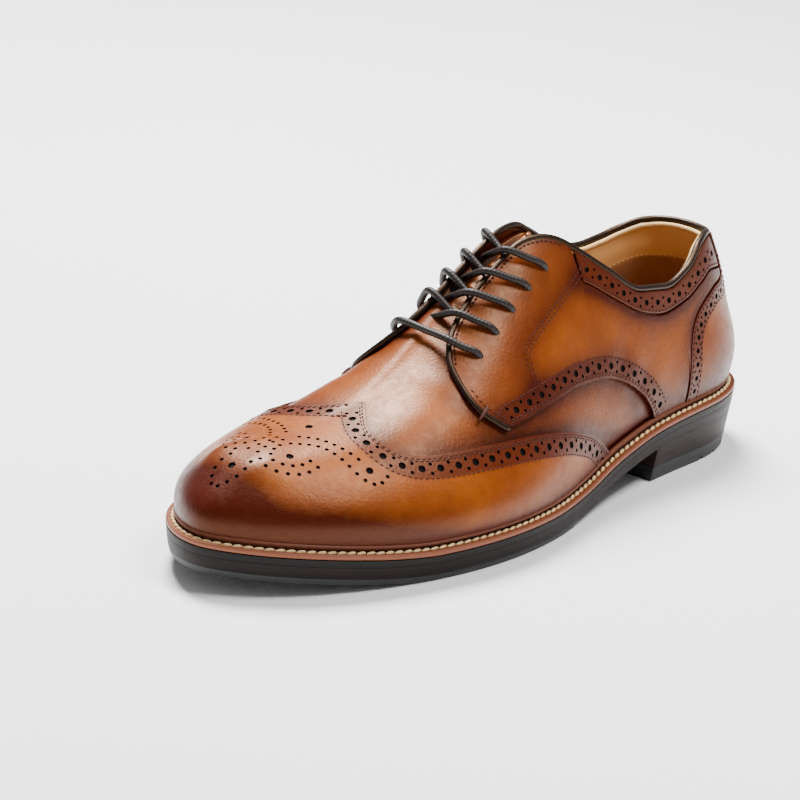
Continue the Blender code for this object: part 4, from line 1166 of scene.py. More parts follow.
# Sub-assemblies
@dataclass
class SoleUnit:
    """Everything under the upper: welt, midsole, outsole, rubber, heel and sock."""

    last: Last
    welt: float = 2.0 * MM
    midsole: float = 2.8 * MM
    outsole: float = 4.6 * MM
    gap: float = 0.3 * MM
    rib_width: float = 2.2 * MM
    rib_height: float = 3.2 * MM
    lift: float = 6.0 * MM
    breast: float = 0.262
    rubber_rear: float = 0.47
    stitch_pitch: float = 3.9 * MM

    def layer(self, name: str, insets: tuple, levels: tuple, stations: tuple) -> bpy.types.Object:
        """One layer of the sole, with its edge softened.

        Args:
            name: The piece's name.
            insets: Distances or functions inward at its top and bottom.
            levels: Heights of its top and bottom from the distance along the shoe.
            stations: Where it starts and ends.

        Returns:
            The closed layer.
        """
        first, final = stations
        count = max(40, round(150 * (final - first)))
        turns = np.linspace(turn_of(first), turn_of(final), count)
        rear, front = first == 0, final == 1
        side = turns[1 if rear else 0 : -1 if front else None]
        loop = np.concatenate([side, [math.pi] * front, -side[::-1], [0.0] * rear])
        rings = []
        for inset, level in zip(insets, levels):
            plan = self.last.outline(inset(loop) if callable(inset) else inset, loop)
            rings.append(np.column_stack([plan, level(plan[:, 0])]))
        number, edge = len(loop), len(side)
        far = number - 1 - rear
        faces = [(i, (i + 1) % number, (i + 1) % number + number, i + number) for i in range(number)]
        for i in range(edge - 1):
            quad = (i, far - i, far - i - 1, i + 1)
            faces += [quad, tuple(v + number for v in quad[::-1])]
        if front:
            faces += [(edge - 1, edge + 1, edge), (edge - 1 + number, edge + number, edge + 1 + number)]
        if rear:
            faces += [(0, number - 1, number - 2), (number, 2 * number - 2, 2 * number - 1)]
        thing = from_arrays(name, np.concatenate(rings), faces)
        store(thing, "depth", np.concatenate([np.zeros(number), rings[0][:, 2] - rings[1][:, 2]]))
        turn_outward(thing)
        soften(thing, 0.45 * MM, degrees=50)
        shade(thing, 35)
        return thing

    def heel_inset(self, share: float) -> Callable:
        """Inset of the heel's side a share of the way down, more at its back.

        Args:
            share: How far down, from 0 to 1.

        Returns:
            Function from turns to insets.
        """

        def inset(turns: np.ndarray) -> np.ndarray:
            """Inset at each turn."""
            back = np.clip(1 - np.abs(turns) / turn_of(0.06), 0, 1)
            return 1.0 * MM + share * (2.2 * MM + 3.0 * MM * back)

        return inset

    def build(self) -> None:
        """Build and dress every layer."""
        top = self.last.welt_top
        third = self.gap / 3
        under_welt = self.welt + self.gap
        under_mid = under_welt + self.midsole
        under_out = under_mid + self.outsole
        inked = EdgeDressing("inked_midsole", "#0B0706", "#17100E").make()
        stack = EdgeDressing("stacked_leather_edge", "#0D0504", "#1C0E0B", 2.3).make()
        heel = EdgeDressing("stacked_heel_leather", "#130A08", "#2C1C18", 3.4).make()
        rubber = Rubber().make()
        inside = Lining("sock_leather").make()
        waist, whole = self.heel_inset(0.6), (0, 1)

        def below(depth: float) -> Callable:
            """Level at a depth under the welt's top."""
            return lambda x: top(x) - depth

        def above(height: float) -> Callable:
            """Level at a height over the floor."""
            return lambda x: np.full(len(x), height)

        def tread(x: np.ndarray) -> np.ndarray:
            """Level of the rubber's bottom."""
            return np.maximum(top(x) - self.last.sole_stack, 0)

        out = below(under_out + third)
        rear, front = (0, self.breast), (self.rubber_rear, 1)
        insets = ((0.0, 0.3), (0.3, 0.9), (0.9, 1.6), (9.5, 9.5))
        mid_in, out_in, rubber_in, sock_in = ((up * MM, down * MM) for up, down in insets)
        mid_at = (below(under_welt), below(under_mid))
        out_at = (below(under_mid + third), below(under_out))
        sock_at = (below(under_welt - 2.8 * MM), below(under_welt - self.gap))
        stack_at = (out, above(self.lift + third))
        lift_at, lift_in = (above(self.lift), above(0)), (waist, self.heel_inset(1))
        layers = (
            ("midsole_layer", mid_in, mid_at, whole, inked, "sole_edge", "midsole"),
            ("outsole_layer", out_in, out_at, whole, stack, "stacked_leather", "outsole"),
            ("rubber_forefoot", rubber_in, (out, tread), front, rubber, "black_rubber", "sole_rubber"),
            ("heel_stack", (1.0 * MM, waist), stack_at, rear, heel, "stacked_leather", "heel_block"),
            ("heel_lift", lift_in, lift_at, rear, rubber, "black_rubber", "heel_top_lift"),
            ("sock", sock_in, sock_at, whole, inside, "lining_leather", "insole"),
        )
        for name, insets, levels, stations, finish, slot, node in layers:
            thing = self.layer(name, insets, levels, stations)
            if name == "heel_lift":
                self.groove(thing)
            if name == "sock":
                store(thing, "collar", 0.6)
            hand_over(thing, finish, slot, node)
        self.build_welt()

    def groove(self, lift: bpy.types.Object) -> None:
        """Cut the grooves across the bottom of the heel's lift.

        Args:
            lift: The lift.
        """
        for station in (0.07, 0.105, 0.14):
            free_selection()
            bpy.ops.mesh.primitive_cube_add(size=1, location=(self.last.length * station - CENTRE[0], 0, 0))
            bar = bpy.context.active_object
            bar.scale = (2.0 * MM, 0.2, 2.0 * MM)
            bpy.ops.object.transform_apply(location=True, scale=True)
            apply_modifier(lift, "BOOLEAN", object=bar, operation="DIFFERENCE", solver="EXACT")
            bpy.data.objects.remove(bar, do_unlink=True)

    def build_welt(self) -> None:
        """Storm welt with its raised rib, and the cream stitches in the corner between them."""
        last = self.last
        columns = 400
        turns = wrapped(np.linspace(0, 2 * math.pi, columns, endpoint=False))
        foot, away = last.outline(last.welt_width, turns), last.outward(turns)
        base = last.welt_top(foot[:, 0])
        edge = last.outline(0, turns)
        edge_z = last.welt_top(edge[:, 0])
        rim = last.raised(turns, last.height_above_welt(turns, self.rib_height), 0.35 * MM)[:, :2]
        rib = self.rib_width

        def ring(plan: np.ndarray, out: float, z: np.ndarray) -> np.ndarray:
            """One line of the section all round the shoe."""
            return np.column_stack([plan + away * out, z])

        rings = [
            ring(foot, self.gap, base - self.welt),
            ring(edge, -0.25 * MM, edge_z - self.welt),
            ring(edge, 0, edge_z - self.welt + 0.3 * MM),
            ring(edge, 0, edge_z - 0.6 * MM),
            ring(edge, -0.2 * MM, edge_z - 0.2 * MM),
            ring(edge, -0.6 * MM, edge_z),
            ring(foot, rib + 1.5 * MM, base),
            ring(foot, rib + 1.1 * MM, base - 0.35 * MM),
            ring(foot, rib + 0.3 * MM, base - 0.3 * MM),
            ring(foot, rib, base + 0.2 * MM),
            ring((foot + rim) / 2, rib, base + 0.5 * self.rib_height),
            ring(rim, rib, base + self.rib_height - 0.9 * MM),
            ring(rim, rib - 0.25 * MM, base + self.rib_height - 0.3 * MM),
            ring(rim, rib - 0.8 * MM, base + self.rib_height),
            ring(rim, 0.5 * MM, base + self.rib_height),
            ring(rim, 0.05 * MM, base + self.rib_height - 0.4 * MM),
        ]
        # share of the brown dye on each line of the section: most on the rib's outer face and in the corner
        # at its foot; the rib's top is kept lighter as a painted highlight
        marks = (0, 0, 0.1, 0.1, 0, 0, 0.1, 0.8, 0.9, 0.8, 0.75, 0.7, 0.35, 0.3, 0.6, 1)
        count = len(rings)
        faces = []
        for r in range(count):
            n = (r + 1) % count
            for i in range(columns):
                j = (i + 1) % columns
                faces.append((r * columns + i, r * columns + j, n * columns + j, n * columns + i))
        welt = from_arrays("storm_welt", np.concatenate(rings), faces)
        store(welt, "rib", np.repeat(marks, columns))
        turn_outward(welt)
        shade(welt, 45)
        hand_over(welt, WeltLeather().make(), "welt_leather", "welt")
        line = ring(foot, rib + 1.25 * MM, base + 0.15 * MM)
        run = run_of(line)
        places = np.linspace(0, run[-1], round(run[-1] / self.stitch_pitch), endpoint=False)
        here, side = along_line(places, run, line), along_line(places, run, away)
        ahead = along_line(places + 1 * MM, run, line)
        along = unit(ahead - here) + 0.22 * np.column_stack([side, 0 * places])
        up = unit(np.column_stack([0.35 * side, 0 * places + 0.9]))
        spots = [(*row, (4.3 * MM, 1.5 * MM, 1.5 * MM)) for row in zip(here, along, up)]
        seam = Template.thread().copies("welt_stitches", spots)
        hand_over(seam, Thread("waxed_linen_thread", "#F8DEAC", "#DDB070", 0.6).make(), "welt_leather")


@dataclass
class Brogueing:
    """Punched holes and sewn rows along an edge of a panel."""

    last: Last
    big: float = 3.0 * MM
    small: float = 1.5 * MM
    pitch: float = 7.8 * MM
    middle: float = 5.2 * MM
    spread: float = 1.9 * MM

    def holes(self, edge: Path, start: float, end: float) -> list:
        """Places of the holes: big ones in a row with a pair of small ones between.

        Args:
            edge: The panel's edge, with the panel to its left.
            start: Length without holes at the edge's start.
            end: Length without holes at its end.

        Returns:
            Rows of place, normal and diameter.
        """
        centre = edge.beside(self.middle).spaced(self.pitch / 2, start, end)
        found = []
        rows = {0: centre, 1: centre.beside(self.spread), -1: centre.beside(-self.spread)}
        for shift, path in rows.items():
            points, normals = path.points(), path.normals()
            for i, (point, normal) in enumerate(zip(points, normals)):
                if shift == 0 and i % 2 == 0:
                    found.append((point, normal, self.big))
                if shift != 0 and i % 2 == 1:
                    found.append((point, normal, self.small))
        return found


class Seams:
    """Collects stitches, and makes one joined piece of each colour of thread."""

    def __init__(self) -> None:
        """Start with no stitches."""
        self.spots: dict[str, list] = {}

    def add(self, kind: str, points: ArrayLike, along: ArrayLike, normals: ArrayLike, size: tuple) -> None:
        """Collect stitches of one thread from rows of places, directions and normals."""
        self.spots.setdefault(kind, []).extend((*row, size) for row in zip(points, along, normals))

    def sew(
        self, kind: str, path: Path, lift: float, pitch: float, size: tuple, trim: tuple = (0.0, 0.0)
    ) -> None:
        """Sew along a path.

        Args:
            kind: Which thread.
            path: Where.
            lift: Height of the leather under the thread, over the last's skin.
            pitch: Length of a stitch with its gap.
            size: Thread's length, width and height.
            trim: Lengths left out at the start and end.
        """
        line = path.spaced(pitch, *trim)
        points = line.points(lift)
        self.add(kind, points, unit(np.gradient(points, axis=0)), line.normals(), size)

    def finish(self, kind: str, name: str, material: bpy.types.Material, slot: str) -> None:
        """Make the joined piece of one thread."""
        hand_over(Template.thread().copies(name, self.spots[kind]), material, slot)


@dataclass
class Upper:
    """The upper: shell, lining, panels, piping and tongue, with their seams."""

    last: Last
    calf: bpy.types.Material
    # painted shade for the walls of the punched holes and the discs inside them
    hole_shade: bpy.types.Material
    seams: Seams
    gap: float = 0.7 * MM
    leather: float = 1.3 * MM
    shell: float = 1.2 * MM
    roll: float = 1.2 * MM
    collar_roll: float = 1.4 * MM
    tip: float = 0.04
    fine: tuple = (1.75 * MM, 0.62 * MM, 0.5 * MM)
    fine_pitch: float = 2.3 * MM

    @property
    def top(self) -> float:
        """Height of a panel's face over the skin."""
        return self.gap + self.leather

    def stitch(
        self,
        path: Path,
        left: int,
        distances: tuple,
        trim: tuple = (0.0, 0.0),
        lift: float | None = None,
    ) -> None:
        """Sew fine brown rows beside a path.

        Args:
            path: Where.
            left: 1 where the rows lie to the left of the path's run, or -1.
            distances: How far each row lies from it.
            trim: Lengths left out at the start and end.
            lift: Height of the leather over the skin, where it isn't a panel's.
        """
        for distance in distances:
            beside = path.beside(distance * left)
            self.seams.sew("brown", beside, lift or self.top, self.fine_pitch, self.fine, trim)

    def collar(self, turns: np.ndarray, stations: np.ndarray) -> np.ndarray:
        """Height of the topline at stations, on the side that each turn lies on."""
        lateral, medial = (read(TOPLINE, stations, side.column) for side in Side)
        return np.where(turns >= 0, lateral, medial)

    def low_edge(self, turns: np.ndarray) -> np.ndarray:
        """Lowest height of the panels, tucked behind the welt's rib."""
        return self.last.height_above_welt(turns, 3.5 * MM)

    def burnish(self, turns: np.ndarray, heights: np.ndarray, near_edge: np.ndarray) -> np.ndarray:
        """How dark the polish and the painted shade are.

        Args:
            turns: Signed turns of the points.
            heights: Heights of the points.
            near_edge: Distance to the panel's nearest edge.

        Returns:
            Darkness from 0 to 1.
        """
        stations = station_of(turns)
        toe = soft_step(stations, 0.66, 1.00) * (1 - soft_step(heights, 0.05, 0.66))
        tip = soft_step(stations, 0.92, 1.01) * (1 - soft_step(heights, 0.50, 1.1))
        heel = (1 - soft_step(stations, 0.0, 0.26)) * (0.25 + 0.3 * (1 - soft_step(heights, 0.1, 0.6)))
        # darker toward the welt, more so toward the toe: partly wax polish, partly painted shade on the lower
        # sides and under the arch
        low = (1 - soft_step(heights, 0.0, 0.34)) * (0.6 + 0.3 * soft_step(stations, 0.66, 0.85))
        edge = 0.55 * np.exp(-near_edge / (3.0 * MM))
        return np.clip(1.3 * toe + 0.7 * tip + heel + low + edge, 0, 1)

    def panel(
        self,
        name: str,
        turns: np.ndarray,
        heights: np.ndarray,
        lift: float,
        thickness: float,
        closed: bool = False,
        bevel: float = 0.5 * MM,
    ) -> bpy.types.Object:
        """Leather panel laid on the last.

        Args:
            name: The piece's name.
            turns: Signed turns, one for each column along the shoe or a grid of them.
            heights: Grid of heights, rows up the side.
            lift: Height of its face over the skin.
            thickness: Thickness of the leather.
            closed: Whether its last column meets its first.
            bevel: Softening of its cut edge.

        Returns:
            The closed panel with its polish and painted shade stored.
        """
        turns = np.broadcast_to(turns.reshape(len(turns), -1), heights.shape)
        points = self.last.raised(turns, heights, lift)
        ridge = heights > 0.9999
        if ridge.any():
            mirrored = self.last.raised(-turns, heights, lift)
            points[ridge] = (points[ridge] + mirrored[ridge]) / 2
        thing = sheet(name, points)
        up = np.linalg.norm(np.diff(points, axis=1), axis=2)
        from_foot = np.concatenate([np.zeros((len(points), 1)), np.cumsum(up, axis=1)], axis=1)
        open_top = from_foot[:, -1:] - from_foot
        open_top[ridge[:, -1]] = 1.0
        near = np.minimum(from_foot, open_top)
        if not closed:
            side = np.linalg.norm(np.diff(points, axis=0), axis=2)
            run = np.concatenate([np.zeros((1, points.shape[1])), np.cumsum(side, axis=0)], axis=0)
            near = np.minimum(near, np.minimum(run, run[-1:] - run))
        store(thing, "burnish", self.burnish(turns, heights, near).T.ravel())
        store(thing, "band", 0)
        if closed or ridge.any():
            merge_close(thing)
        turn, height = turns[len(turns) // 2, 1:2], heights[len(turns) // 2, 1:2]
        turn_sheet(thing, self.last.raised(turn, height, lift)[0], self.last.normal(turn, height)[0])
        apply_modifier(thing, "SOLIDIFY", thickness=thickness, offset=-1, use_even_offset=True)
        soften(thing, bevel)
        return thing

    def punch(self, thing: bpy.types.Object, holes: list, shade_disc_name: str, solid: str) -> None:
        """Punch holes through a panel, colour the hole walls with painted shade, lay a disc of painted shade
        inside each and hand both over.

        Args:
            thing: The panel.
            holes: Rows of place on the skin, normal and diameter.
            shade_disc_name: Name of the piece of painted-shade discs.
            solid: Name of the solid that the panel stands for.
        """
        spots, shade_discs = [], []
        for p, n, d in holes:
            along = np.cross(n, (0.2, 0.3, 0.9))
            spots.append((p + n * 0.3 * MM, along, n, (d, d, 2.6 * MM)))
            shade_discs.append((p + n * (self.top - 0.75 * MM), along, n, (d + 0.1 * MM, d + 0.1 * MM, 1.0)))
        cutter = Template.rod(12).copies(shade_disc_name + "_cutter", spots)
        turn_outward(cutter)
        skin = tree_of(places_of(thing))
        before = {name: stored(thing, name) for name in ("burnish", "band")}
        for each in (thing, cutter):
            each.data.materials.append(self.calf)
            each.data.materials.append(self.hole_shade)
        # the cutter's faces bring the painted shade onto the hole walls that the cut leaves
        for face in cutter.data.polygons:
            face.material_index = 1
        apply_modifier(thing, "BOOLEAN", object=cutter, operation="DIFFERENCE", solver="MANIFOLD")
        bpy.data.objects.remove(cutter, do_unlink=True)
        # the vertices that the cut has made take the polish, painted shade and band of the skin beside them
        nearest = [skin.find(vertex.co)[1] for vertex in thing.data.vertices]
        for name, values in before.items():
            store(thing, name, values[nearest])
        # faces of the hole walls take the near-black painted shade
        pits = tree_of([p + n * (self.top - 0.6 * MM) - CENTRE for p, n, _ in holes])
        for face in thing.data.polygons:
            _, index, away = pits.find(face.center)
            _, n, d = holes[index]
            if away < 0.5 * d + 0.9 * MM and abs(face.normal.dot(Vector(n))) < 0.5:
                face.material_index = 1
        # discs of painted shade inside the holes
        hand_over(Template.disc(10).copies(shade_disc_name, shade_discs), self.hole_shade, "burnished_leather")
        shade(thing, 40)
        hand_over(thing, None, "burnished_leather", solid)

    def distance_to(self, thing: bpy.types.Object, edges: list) -> np.ndarray:
        """Distance of each vertex to the nearest of some paths.

        Args:
            thing: The panel.
            edges: The paths.

        Returns:
            Distances, up to a metre.
        """
        lines = np.concatenate([edge.spaced(1.0 * MM).points(self.top) for edge in edges]) - CENTRE
        places = places_of(thing)
        near = np.full(len(places), 1.0)
        for chunk in np.array_split(lines, max(1, len(lines) // 60)):
            near = np.minimum(near, np.linalg.norm(places[:, None] - chunk[None], axis=2).min(axis=1))
        return near

    def add_to(self, thing: bpy.types.Object, name: str, more: np.ndarray) -> None:
        """Raise one of the stored numbers of a panel, up to 1."""
        store(thing, name, np.clip(stored(thing, name) + more, 0, 1))

    def band_shade(self, thing: bpy.types.Object, edges: list, width: float) -> None:
        """Store how far each point lies inside a redder band along an edge.

        Args:
            thing: The panel.
            edges: Paths of its edges.
            width: The band's width.
        """
        near = self.distance_to(thing, edges)
        self.add_to(thing, "band", 1 - soft_step(near, width - 0.8 * MM, width + 0.8 * MM))

    def darken(self, thing: bpy.types.Object, paths: list, amount: float, reach: float) -> None:
        """Burnish a panel along some paths.

        Args:
            thing: The panel.
            paths: Where the polish is darkest.
            amount: How dark it is there.
            reach: How far it fades.
        """
        near = self.distance_to(thing, paths)
        self.add_to(thing, "burnish", amount * np.exp(-((near / reach) ** 1.4)))

    def redden(self, thing: bpy.types.Object, seam: Path, side: Side) -> None:
        """Give the facing, in front of its seam, a redder dye.

        Args:
            thing: The quarter.
            seam: The facing's seam.
            side: Side of the shoe.
        """
        co = places_of(thing) + CENTRE
        line = seam.points()
        reach = np.interp(co[:, 2], line[::-1, 2], line[::-1, 0])
        ahead = soft_step(co[:, 0] - reach, -2 * MM, 5 * MM)
        share = ahead * soft_step(co[:, 2], line[-1, 2] - 6 * MM, line[-1, 2])
        self.add_to(thing, "band", 0.55 * share * (side.value * co[:, 1] > -1))

    def build_shell(self) -> None:
        """Vamp and the shell under the quarters, and the lining inside it."""
        last = self.last
        columns, rows = 280, 46
        ring = wrapped(np.linspace(0, 2 * math.pi, columns, endpoint=False))
        ring = np.concatenate([ring, ring[:1]])
        stations = station_of(ring)
        closed = stations > 0.585
        slot = np.clip(stations, 0, EYELETS["station"][1])
        edge = self.collar(ring, slot)
        setback = 0.045 * np.clip((stations - 0.40) / 0.06, 0, 1)
        head = np.where(closed, 1.0, edge - setback - 0.005)
        turns = np.repeat(ring[:, None], rows, 1)
        share = np.linspace(0, 1, rows)[None, :]
        heights = head[:, None] * share
        vamp = self.panel("vamp_and_quarters_base", turns, heights, 0.0, self.shell, True, 0.3 * MM)
        paths = []
        for side in Side:
            for table, first, final in ((WING_EDGE, 0.372, 0.806), (QUARTER_FOOT, 0.262, 0.648)):
                paths.append(Path.cut(last, side, table, np.linspace(first, final, 120)))
            paths.append(Path.cut(last, side, TOPLINE, np.linspace(0.45, 0.648, 60), side.column))
        self.darken(vamp, paths, 0.9, 10.0 * MM)
        shade(vamp, 40)
        hand_over(vamp, self.calf, "burnished_leather", "upper")
        front = np.clip((0.355 - stations) / 0.03, 0, 1)[:, None]
        pad = soft_step(share, 0.50, 0.80) * (1 - 0.75 * soft_step(share, 0.90, 1.0)) * front
        outer = last.raised(turns, heights, -1.25 * MM)
        inner = last.raised(turns, heights, -2.0 * MM - 2.2 * MM * pad)
        for face in (outer, inner):
            mirrored_rows = heights > 0.9999
            face[mirrored_rows, 1] = last.skin(turns, heights)[mirrored_rows, 1]
        count = columns + 1
        faces = []
        for j in range(count - 1):
            for i in range(rows - 1):
                a, b = j * rows + i, (j + 1) * rows + i
                faces += [(a, b, b + 1, a + 1)]
                faces += [tuple(v + count * rows for v in (a, a + 1, b + 1, b))]
            a, b = j * rows, (j + 1) * rows
            faces.append((a, a + count * rows, b + count * rows, b))
            a, b = a + rows - 1, b + rows - 1
            if not (closed[j] and closed[j + 1]):
                faces.append((a, b, b + count * rows, a + count * rows))
        lining = from_arrays("lining", np.concatenate([outer.reshape(-1, 3), inner.reshape(-1, 3)]), faces)
        rear = np.clip((0.42 - stations) / 0.02, 0, 1)[:, None]
        strip = soft_step(heights - head[:, None], -0.12, -0.10) * rear
        store(lining, "collar", np.tile(strip.ravel(), 2))
        merge_close(lining)
        turn_outward(lining)
        shade(lining, 50)
        hand_over(lining, Lining().make(), "lining_leather")
        self.seam_inside(ring, stations, head)

    def seam_inside(self, ring: np.ndarray, stations: np.ndarray, head: np.ndarray) -> None:
        """Cream stitches under the collar's lining strip, and the pale cut edge above it.

        Args:
            ring: Signed turns round the shoe.
            stations: Their stations.
            head: Height of the shell's top at each.
        """
        keep = stations < 0.34
        order = np.argsort(ring[keep][:-1])
        turns, heads = ring[keep][:-1][order], head[keep][:-1][order]
        line = Path(self.last, turns, heads - 0.105).spaced(2.6 * MM)
        points = line.points(-4.1 * MM)
        along = unit(np.gradient(points, axis=0))
        self.seams.add("cream", points, along, -line.normals(), (1.9 * MM, 0.6 * MM, 0.5 * MM))
        edge = Path(self.last, turns, heads + 0.006).spaced(1.5 * MM)
        bead = tube("cream_collar_edge", edge.points(-1.9 * MM), 1.0 * MM, 10)
        hand_over(bead, Thread("cream_edge_leather", "#E9C48A", "#D6A768", 0.5).make(), "lining_leather")

    def build_wing_cap(self) -> None:
        """Toe cap with its wings, brogueing, medallion and seams."""
        tips = np.array(WING_EDGE["station"])
        fine = np.linspace(tips[0], tips[-1], 2000)
        edge_height = read(WING_EDGE, fine)
        run = np.append(0, np.cumsum(np.hypot(np.diff(fine), 0.22 * np.diff(edge_height))))
        wing = np.interp(np.linspace(0, run[-1], 150), run, fine)
        side = np.concatenate([turn_of(wing), np.linspace(turn_of(0.811), math.pi, 56)])
        ring = np.concatenate([side, -side[-2::-1]])
        rows = 56
        stations = station_of(ring)
        on_ridge = stations > tips[-1] + 1e-6
        foot = self.low_edge(ring)
        head = np.maximum(np.where(on_ridge, 1.0, read(WING_EDGE, stations)), foot + 0.01)
        heights = between(foot, head, rows)
        pull = self.peak(stations[:, None], heights, np.sign(ring)[:, None])
        turns = np.sign(ring)[:, None] * turn_of(stations[:, None] - pull)
        cap = self.panel("wing_cap_panel", turns, heights, self.top, self.leather)
        self.even_out(cap)
        edges = []
        holes = []
        work = Brogueing(self.last)
        for which in Side:
            s = wing[1:-1]
            h = np.append(read(WING_EDGE, s), 1.0)
            s = np.append(s, tips[-1])
            s = s - self.peak(s, h, which.value)
            if which is Side.LATERAL:
                s, h = s[h < 1 - self.tip], h[h < 1 - self.tip]
            path = Path(self.last, which.value * turn_of(s), h)
            if which is Side.MEDIAL:
                path = Path(self.last, path.turns[::-1], path.heights[::-1])
            edges.append(path)
            left = -1 if self.inside_is_right(path) else 1
            work.middle = abs(work.middle) * left
            trim = (5 * MM, 7 * MM) if which is Side.LATERAL else (7 * MM, 5 * MM)
            holes += work.holes(path, *trim)
            self.stitch(path, left, (1.3 * MM, 9.0 * MM), (1 * MM, 1 * MM))
            self.stitch(path, left, (2.2 * MM,), (4 * MM, 4 * MM))
        self.band_shade(cap, edges, 9.4 * MM)
        holes += self.medallion(cap, work)
        self.punch(cap, holes, "wing_cap_hole_floors", "wing_cap")

    def inside_is_right(self, path: Path) -> bool:
        """Whether the lower side of a path, where its panel lies, is to the right of its run.

        Args:
            path: The path.

        Returns:
            True where it is.
        """
        moved = path.beside(1 * MM)
        middle = len(path.turns) // 2
        return bool(moved.heights[middle] > path.heights[middle])

    def peak(self, stations: np.ndarray, heights: np.ndarray, side: ArrayLike) -> np.ndarray:
        """How far the cap's middle point reaches back, its tip a little to the lateral side.

        Args:
            stations: Stations of the points.
            heights: Their heights.
            side: 1 on the lateral side and -1 on the medial side.

        Returns:
            Stations to take off.
        """
        end, start = 0.90, WING_EDGE["station"][-1]
        fade = np.clip((end - stations) / (end - start), 0, 1)
        away = np.abs(side * (1 - heights) - self.tip)
        return 0.036 * np.clip(1 - away / 0.20, 0, 1) ** 1.8 * fade

    def even_out(self, cap: bpy.types.Object) -> None:
        """Smooth the cap where both sides run together over the toe.

        Args:
            cap: The cap.
        """
        pole = Vector(self.last.skin(np.array([math.pi]), np.array([1.0]))[0] - CENTRE)
        make_active(cap)
        bpy.ops.object.mode_set(mode="EDIT")
        bpy.ops.mesh.select_all(action="DESELECT")
        bpy.ops.object.mode_set(mode="OBJECT")
        for vertex in cap.data.vertices:
            vertex.select = (vertex.co - pole).length < 16 * MM
        bpy.ops.object.mode_set(mode="EDIT")
        bpy.ops.mesh.vertices_smooth(factor=0.5, repeat=40)
        bpy.ops.object.mode_set(mode="OBJECT")

    def medallion(self, cap: bpy.types.Object, work: Brogueing) -> list:
        """Places of the toe's ornament, found by looking down on the cap.

        Args:
            cap: The cap before it is punched.
            work: Sizes of the holes.

        Returns:
            Rows of place, normal and diameter.
        """
        tree = BVHTree.FromObject(cap, bpy.context.evaluated_depsgraph_get())
        small = 1.65 * MM
        wanted = [(x, y, work.big) for x, y in MEDALLION_BIG] + [(x, y, small) for x, y in MEDALLION_SPINE]
        for knots, count in MEDALLION:
            way = np.linspace(0, 1, len(knots))
            line = smooth(np.linspace(0, 1, 60), way, np.array(knots), free=True)
            run = run_of(line)
            wanted += [(x, y, small) for x, y in along_line(np.linspace(0, run[-1], count), run, line)]
        holes = []
        for x, y, size in wanted:
            x = x * MM
            turn = turn_of(min(1.0, x / self.last.length + 0.05))
            line = self.last.ball_width * smooth(turn, turn_of(LAST["station"]), LAST["ridge_side"])[0]
            for sign in (1, -1) if y else (1,):
                above = Vector((x - CENTRE[0], line + sign * y * MM - CENTRE[1], 0.2))
                hit, normal, _, _ = tree.ray_cast(above, Vector((0, 0, -1)))
                if hit is None:
                    continue
                place = np.array(hit) + CENTRE - np.array(normal) * self.top
                holes.append((place, np.array(normal), size))
        return holes

    def build_counter(self) -> None:
        """Heel counter with its tab, brogueing and seams."""
        marks = np.array(COUNTER_EDGE["station"])
        lateral = turn_of(np.unique(np.concatenate([np.linspace(0, 0.188, 80), marks])))
        ring = np.concatenate([-lateral[:0:-1], lateral])
        stations = station_of(ring)
        head = np.minimum(read(COUNTER_EDGE, stations), self.collar(ring, stations))
        heights = between(self.low_edge(ring), head, 40)
        leather = 1.2 * self.leather
        lift = self.gap + leather
        counter = self.panel("heel_counter_panel", ring, heights, lift, leather)
        holes, edges = [], []
        work = Brogueing(self.last, 2.2 * MM, 1.1 * MM, 5.4 * MM, middle=4.1 * MM, spread=1.4 * MM)
        for which in Side:
            s = np.linspace(0.052, 0.1875, 120)
            h = np.minimum(read(COUNTER_EDGE, s), read(TOPLINE, s, which.column))
            foot_h = self.low_edge(which.value * turn_of(s[-1:]))[0]
            s = np.append(s, np.full(20, 0.1879))
            h = np.append(h, np.linspace(h[-1], foot_h, 21)[1:])
            path = Path(self.last, which.value * turn_of(s), h)
            left = -1 if which is Side.MEDIAL else 1
            work.middle = abs(work.middle) * left
            holes += work.holes(path, 5 * MM, 4 * MM)
            edges.append(path)
            self.stitch(path, left, (1.2 * MM, 6.8 * MM), (2 * MM, 1 * MM), lift)
        self.band_shade(counter, edges, 7.2 * MM)
        self.punch(counter, holes, "counter_hole_floors", "heel_counter")

    def build_quarter(self, side: Side) -> None:
        """One quarter with its facing, arch brogueing, eyelets and seams.

        Args:
            side: Which one.
        """
        band_front = 0.395
        at_front = [band_front - 0.001, band_front + 0.001]
        stations = np.unique(np.concatenate([np.linspace(0.062, 0.648, 190), at_front]))
        turns_line = side.value * turn_of(stations)
        lowest = self.low_edge(turns_line)
        counter = read(COUNTER_EDGE, stations) + 0.013
        foot = np.maximum(np.where(stations < COUNTER_EDGE["station"][-1] + 0.004, counter, 0), lowest)
        foot = np.where(stations > 0.25, np.maximum(read(QUARTER_FOOT, stations), lowest), foot)
        under_band = read(BAND_FOOT, stations, side.column) - 0.008
        head = np.where(stations < band_front, under_band, read(TOPLINE, stations, side.column))
        foot = np.minimum(foot, head - 0.02)
        name = "quarter_" + side.column
        quarter = self.panel(name + "_panel", turns_line, between(foot, head, 44), self.top, self.leather)
        path = Path.cut(self.last, side, QUARTER_FOOT, np.linspace(0.262, 0.603, 200))
        front_edge = Path.cut(self.last, side, QUARTER_FOOT, np.linspace(0.605, 0.6475, 60))
        left = 1 if side is Side.MEDIAL else -1
        work = Brogueing(self.last, big=2.9 * MM, small=1.45 * MM, pitch=8.2 * MM, middle=4.9 * MM * left)
        holes = work.holes(path, 3 * MM, 6.5 * MM)
        self.stitch(path, left, (1.3 * MM, 2.2 * MM, 8.4 * MM), (1 * MM, 2 * MM))
        self.stitch(front_edge, left, (1.9 * MM,), (2 * MM, 1 * MM))
        self.band_shade(quarter, [path], 8.8 * MM)
        way = np.linspace(0, 1, len(FACING_SEAM["station"]))
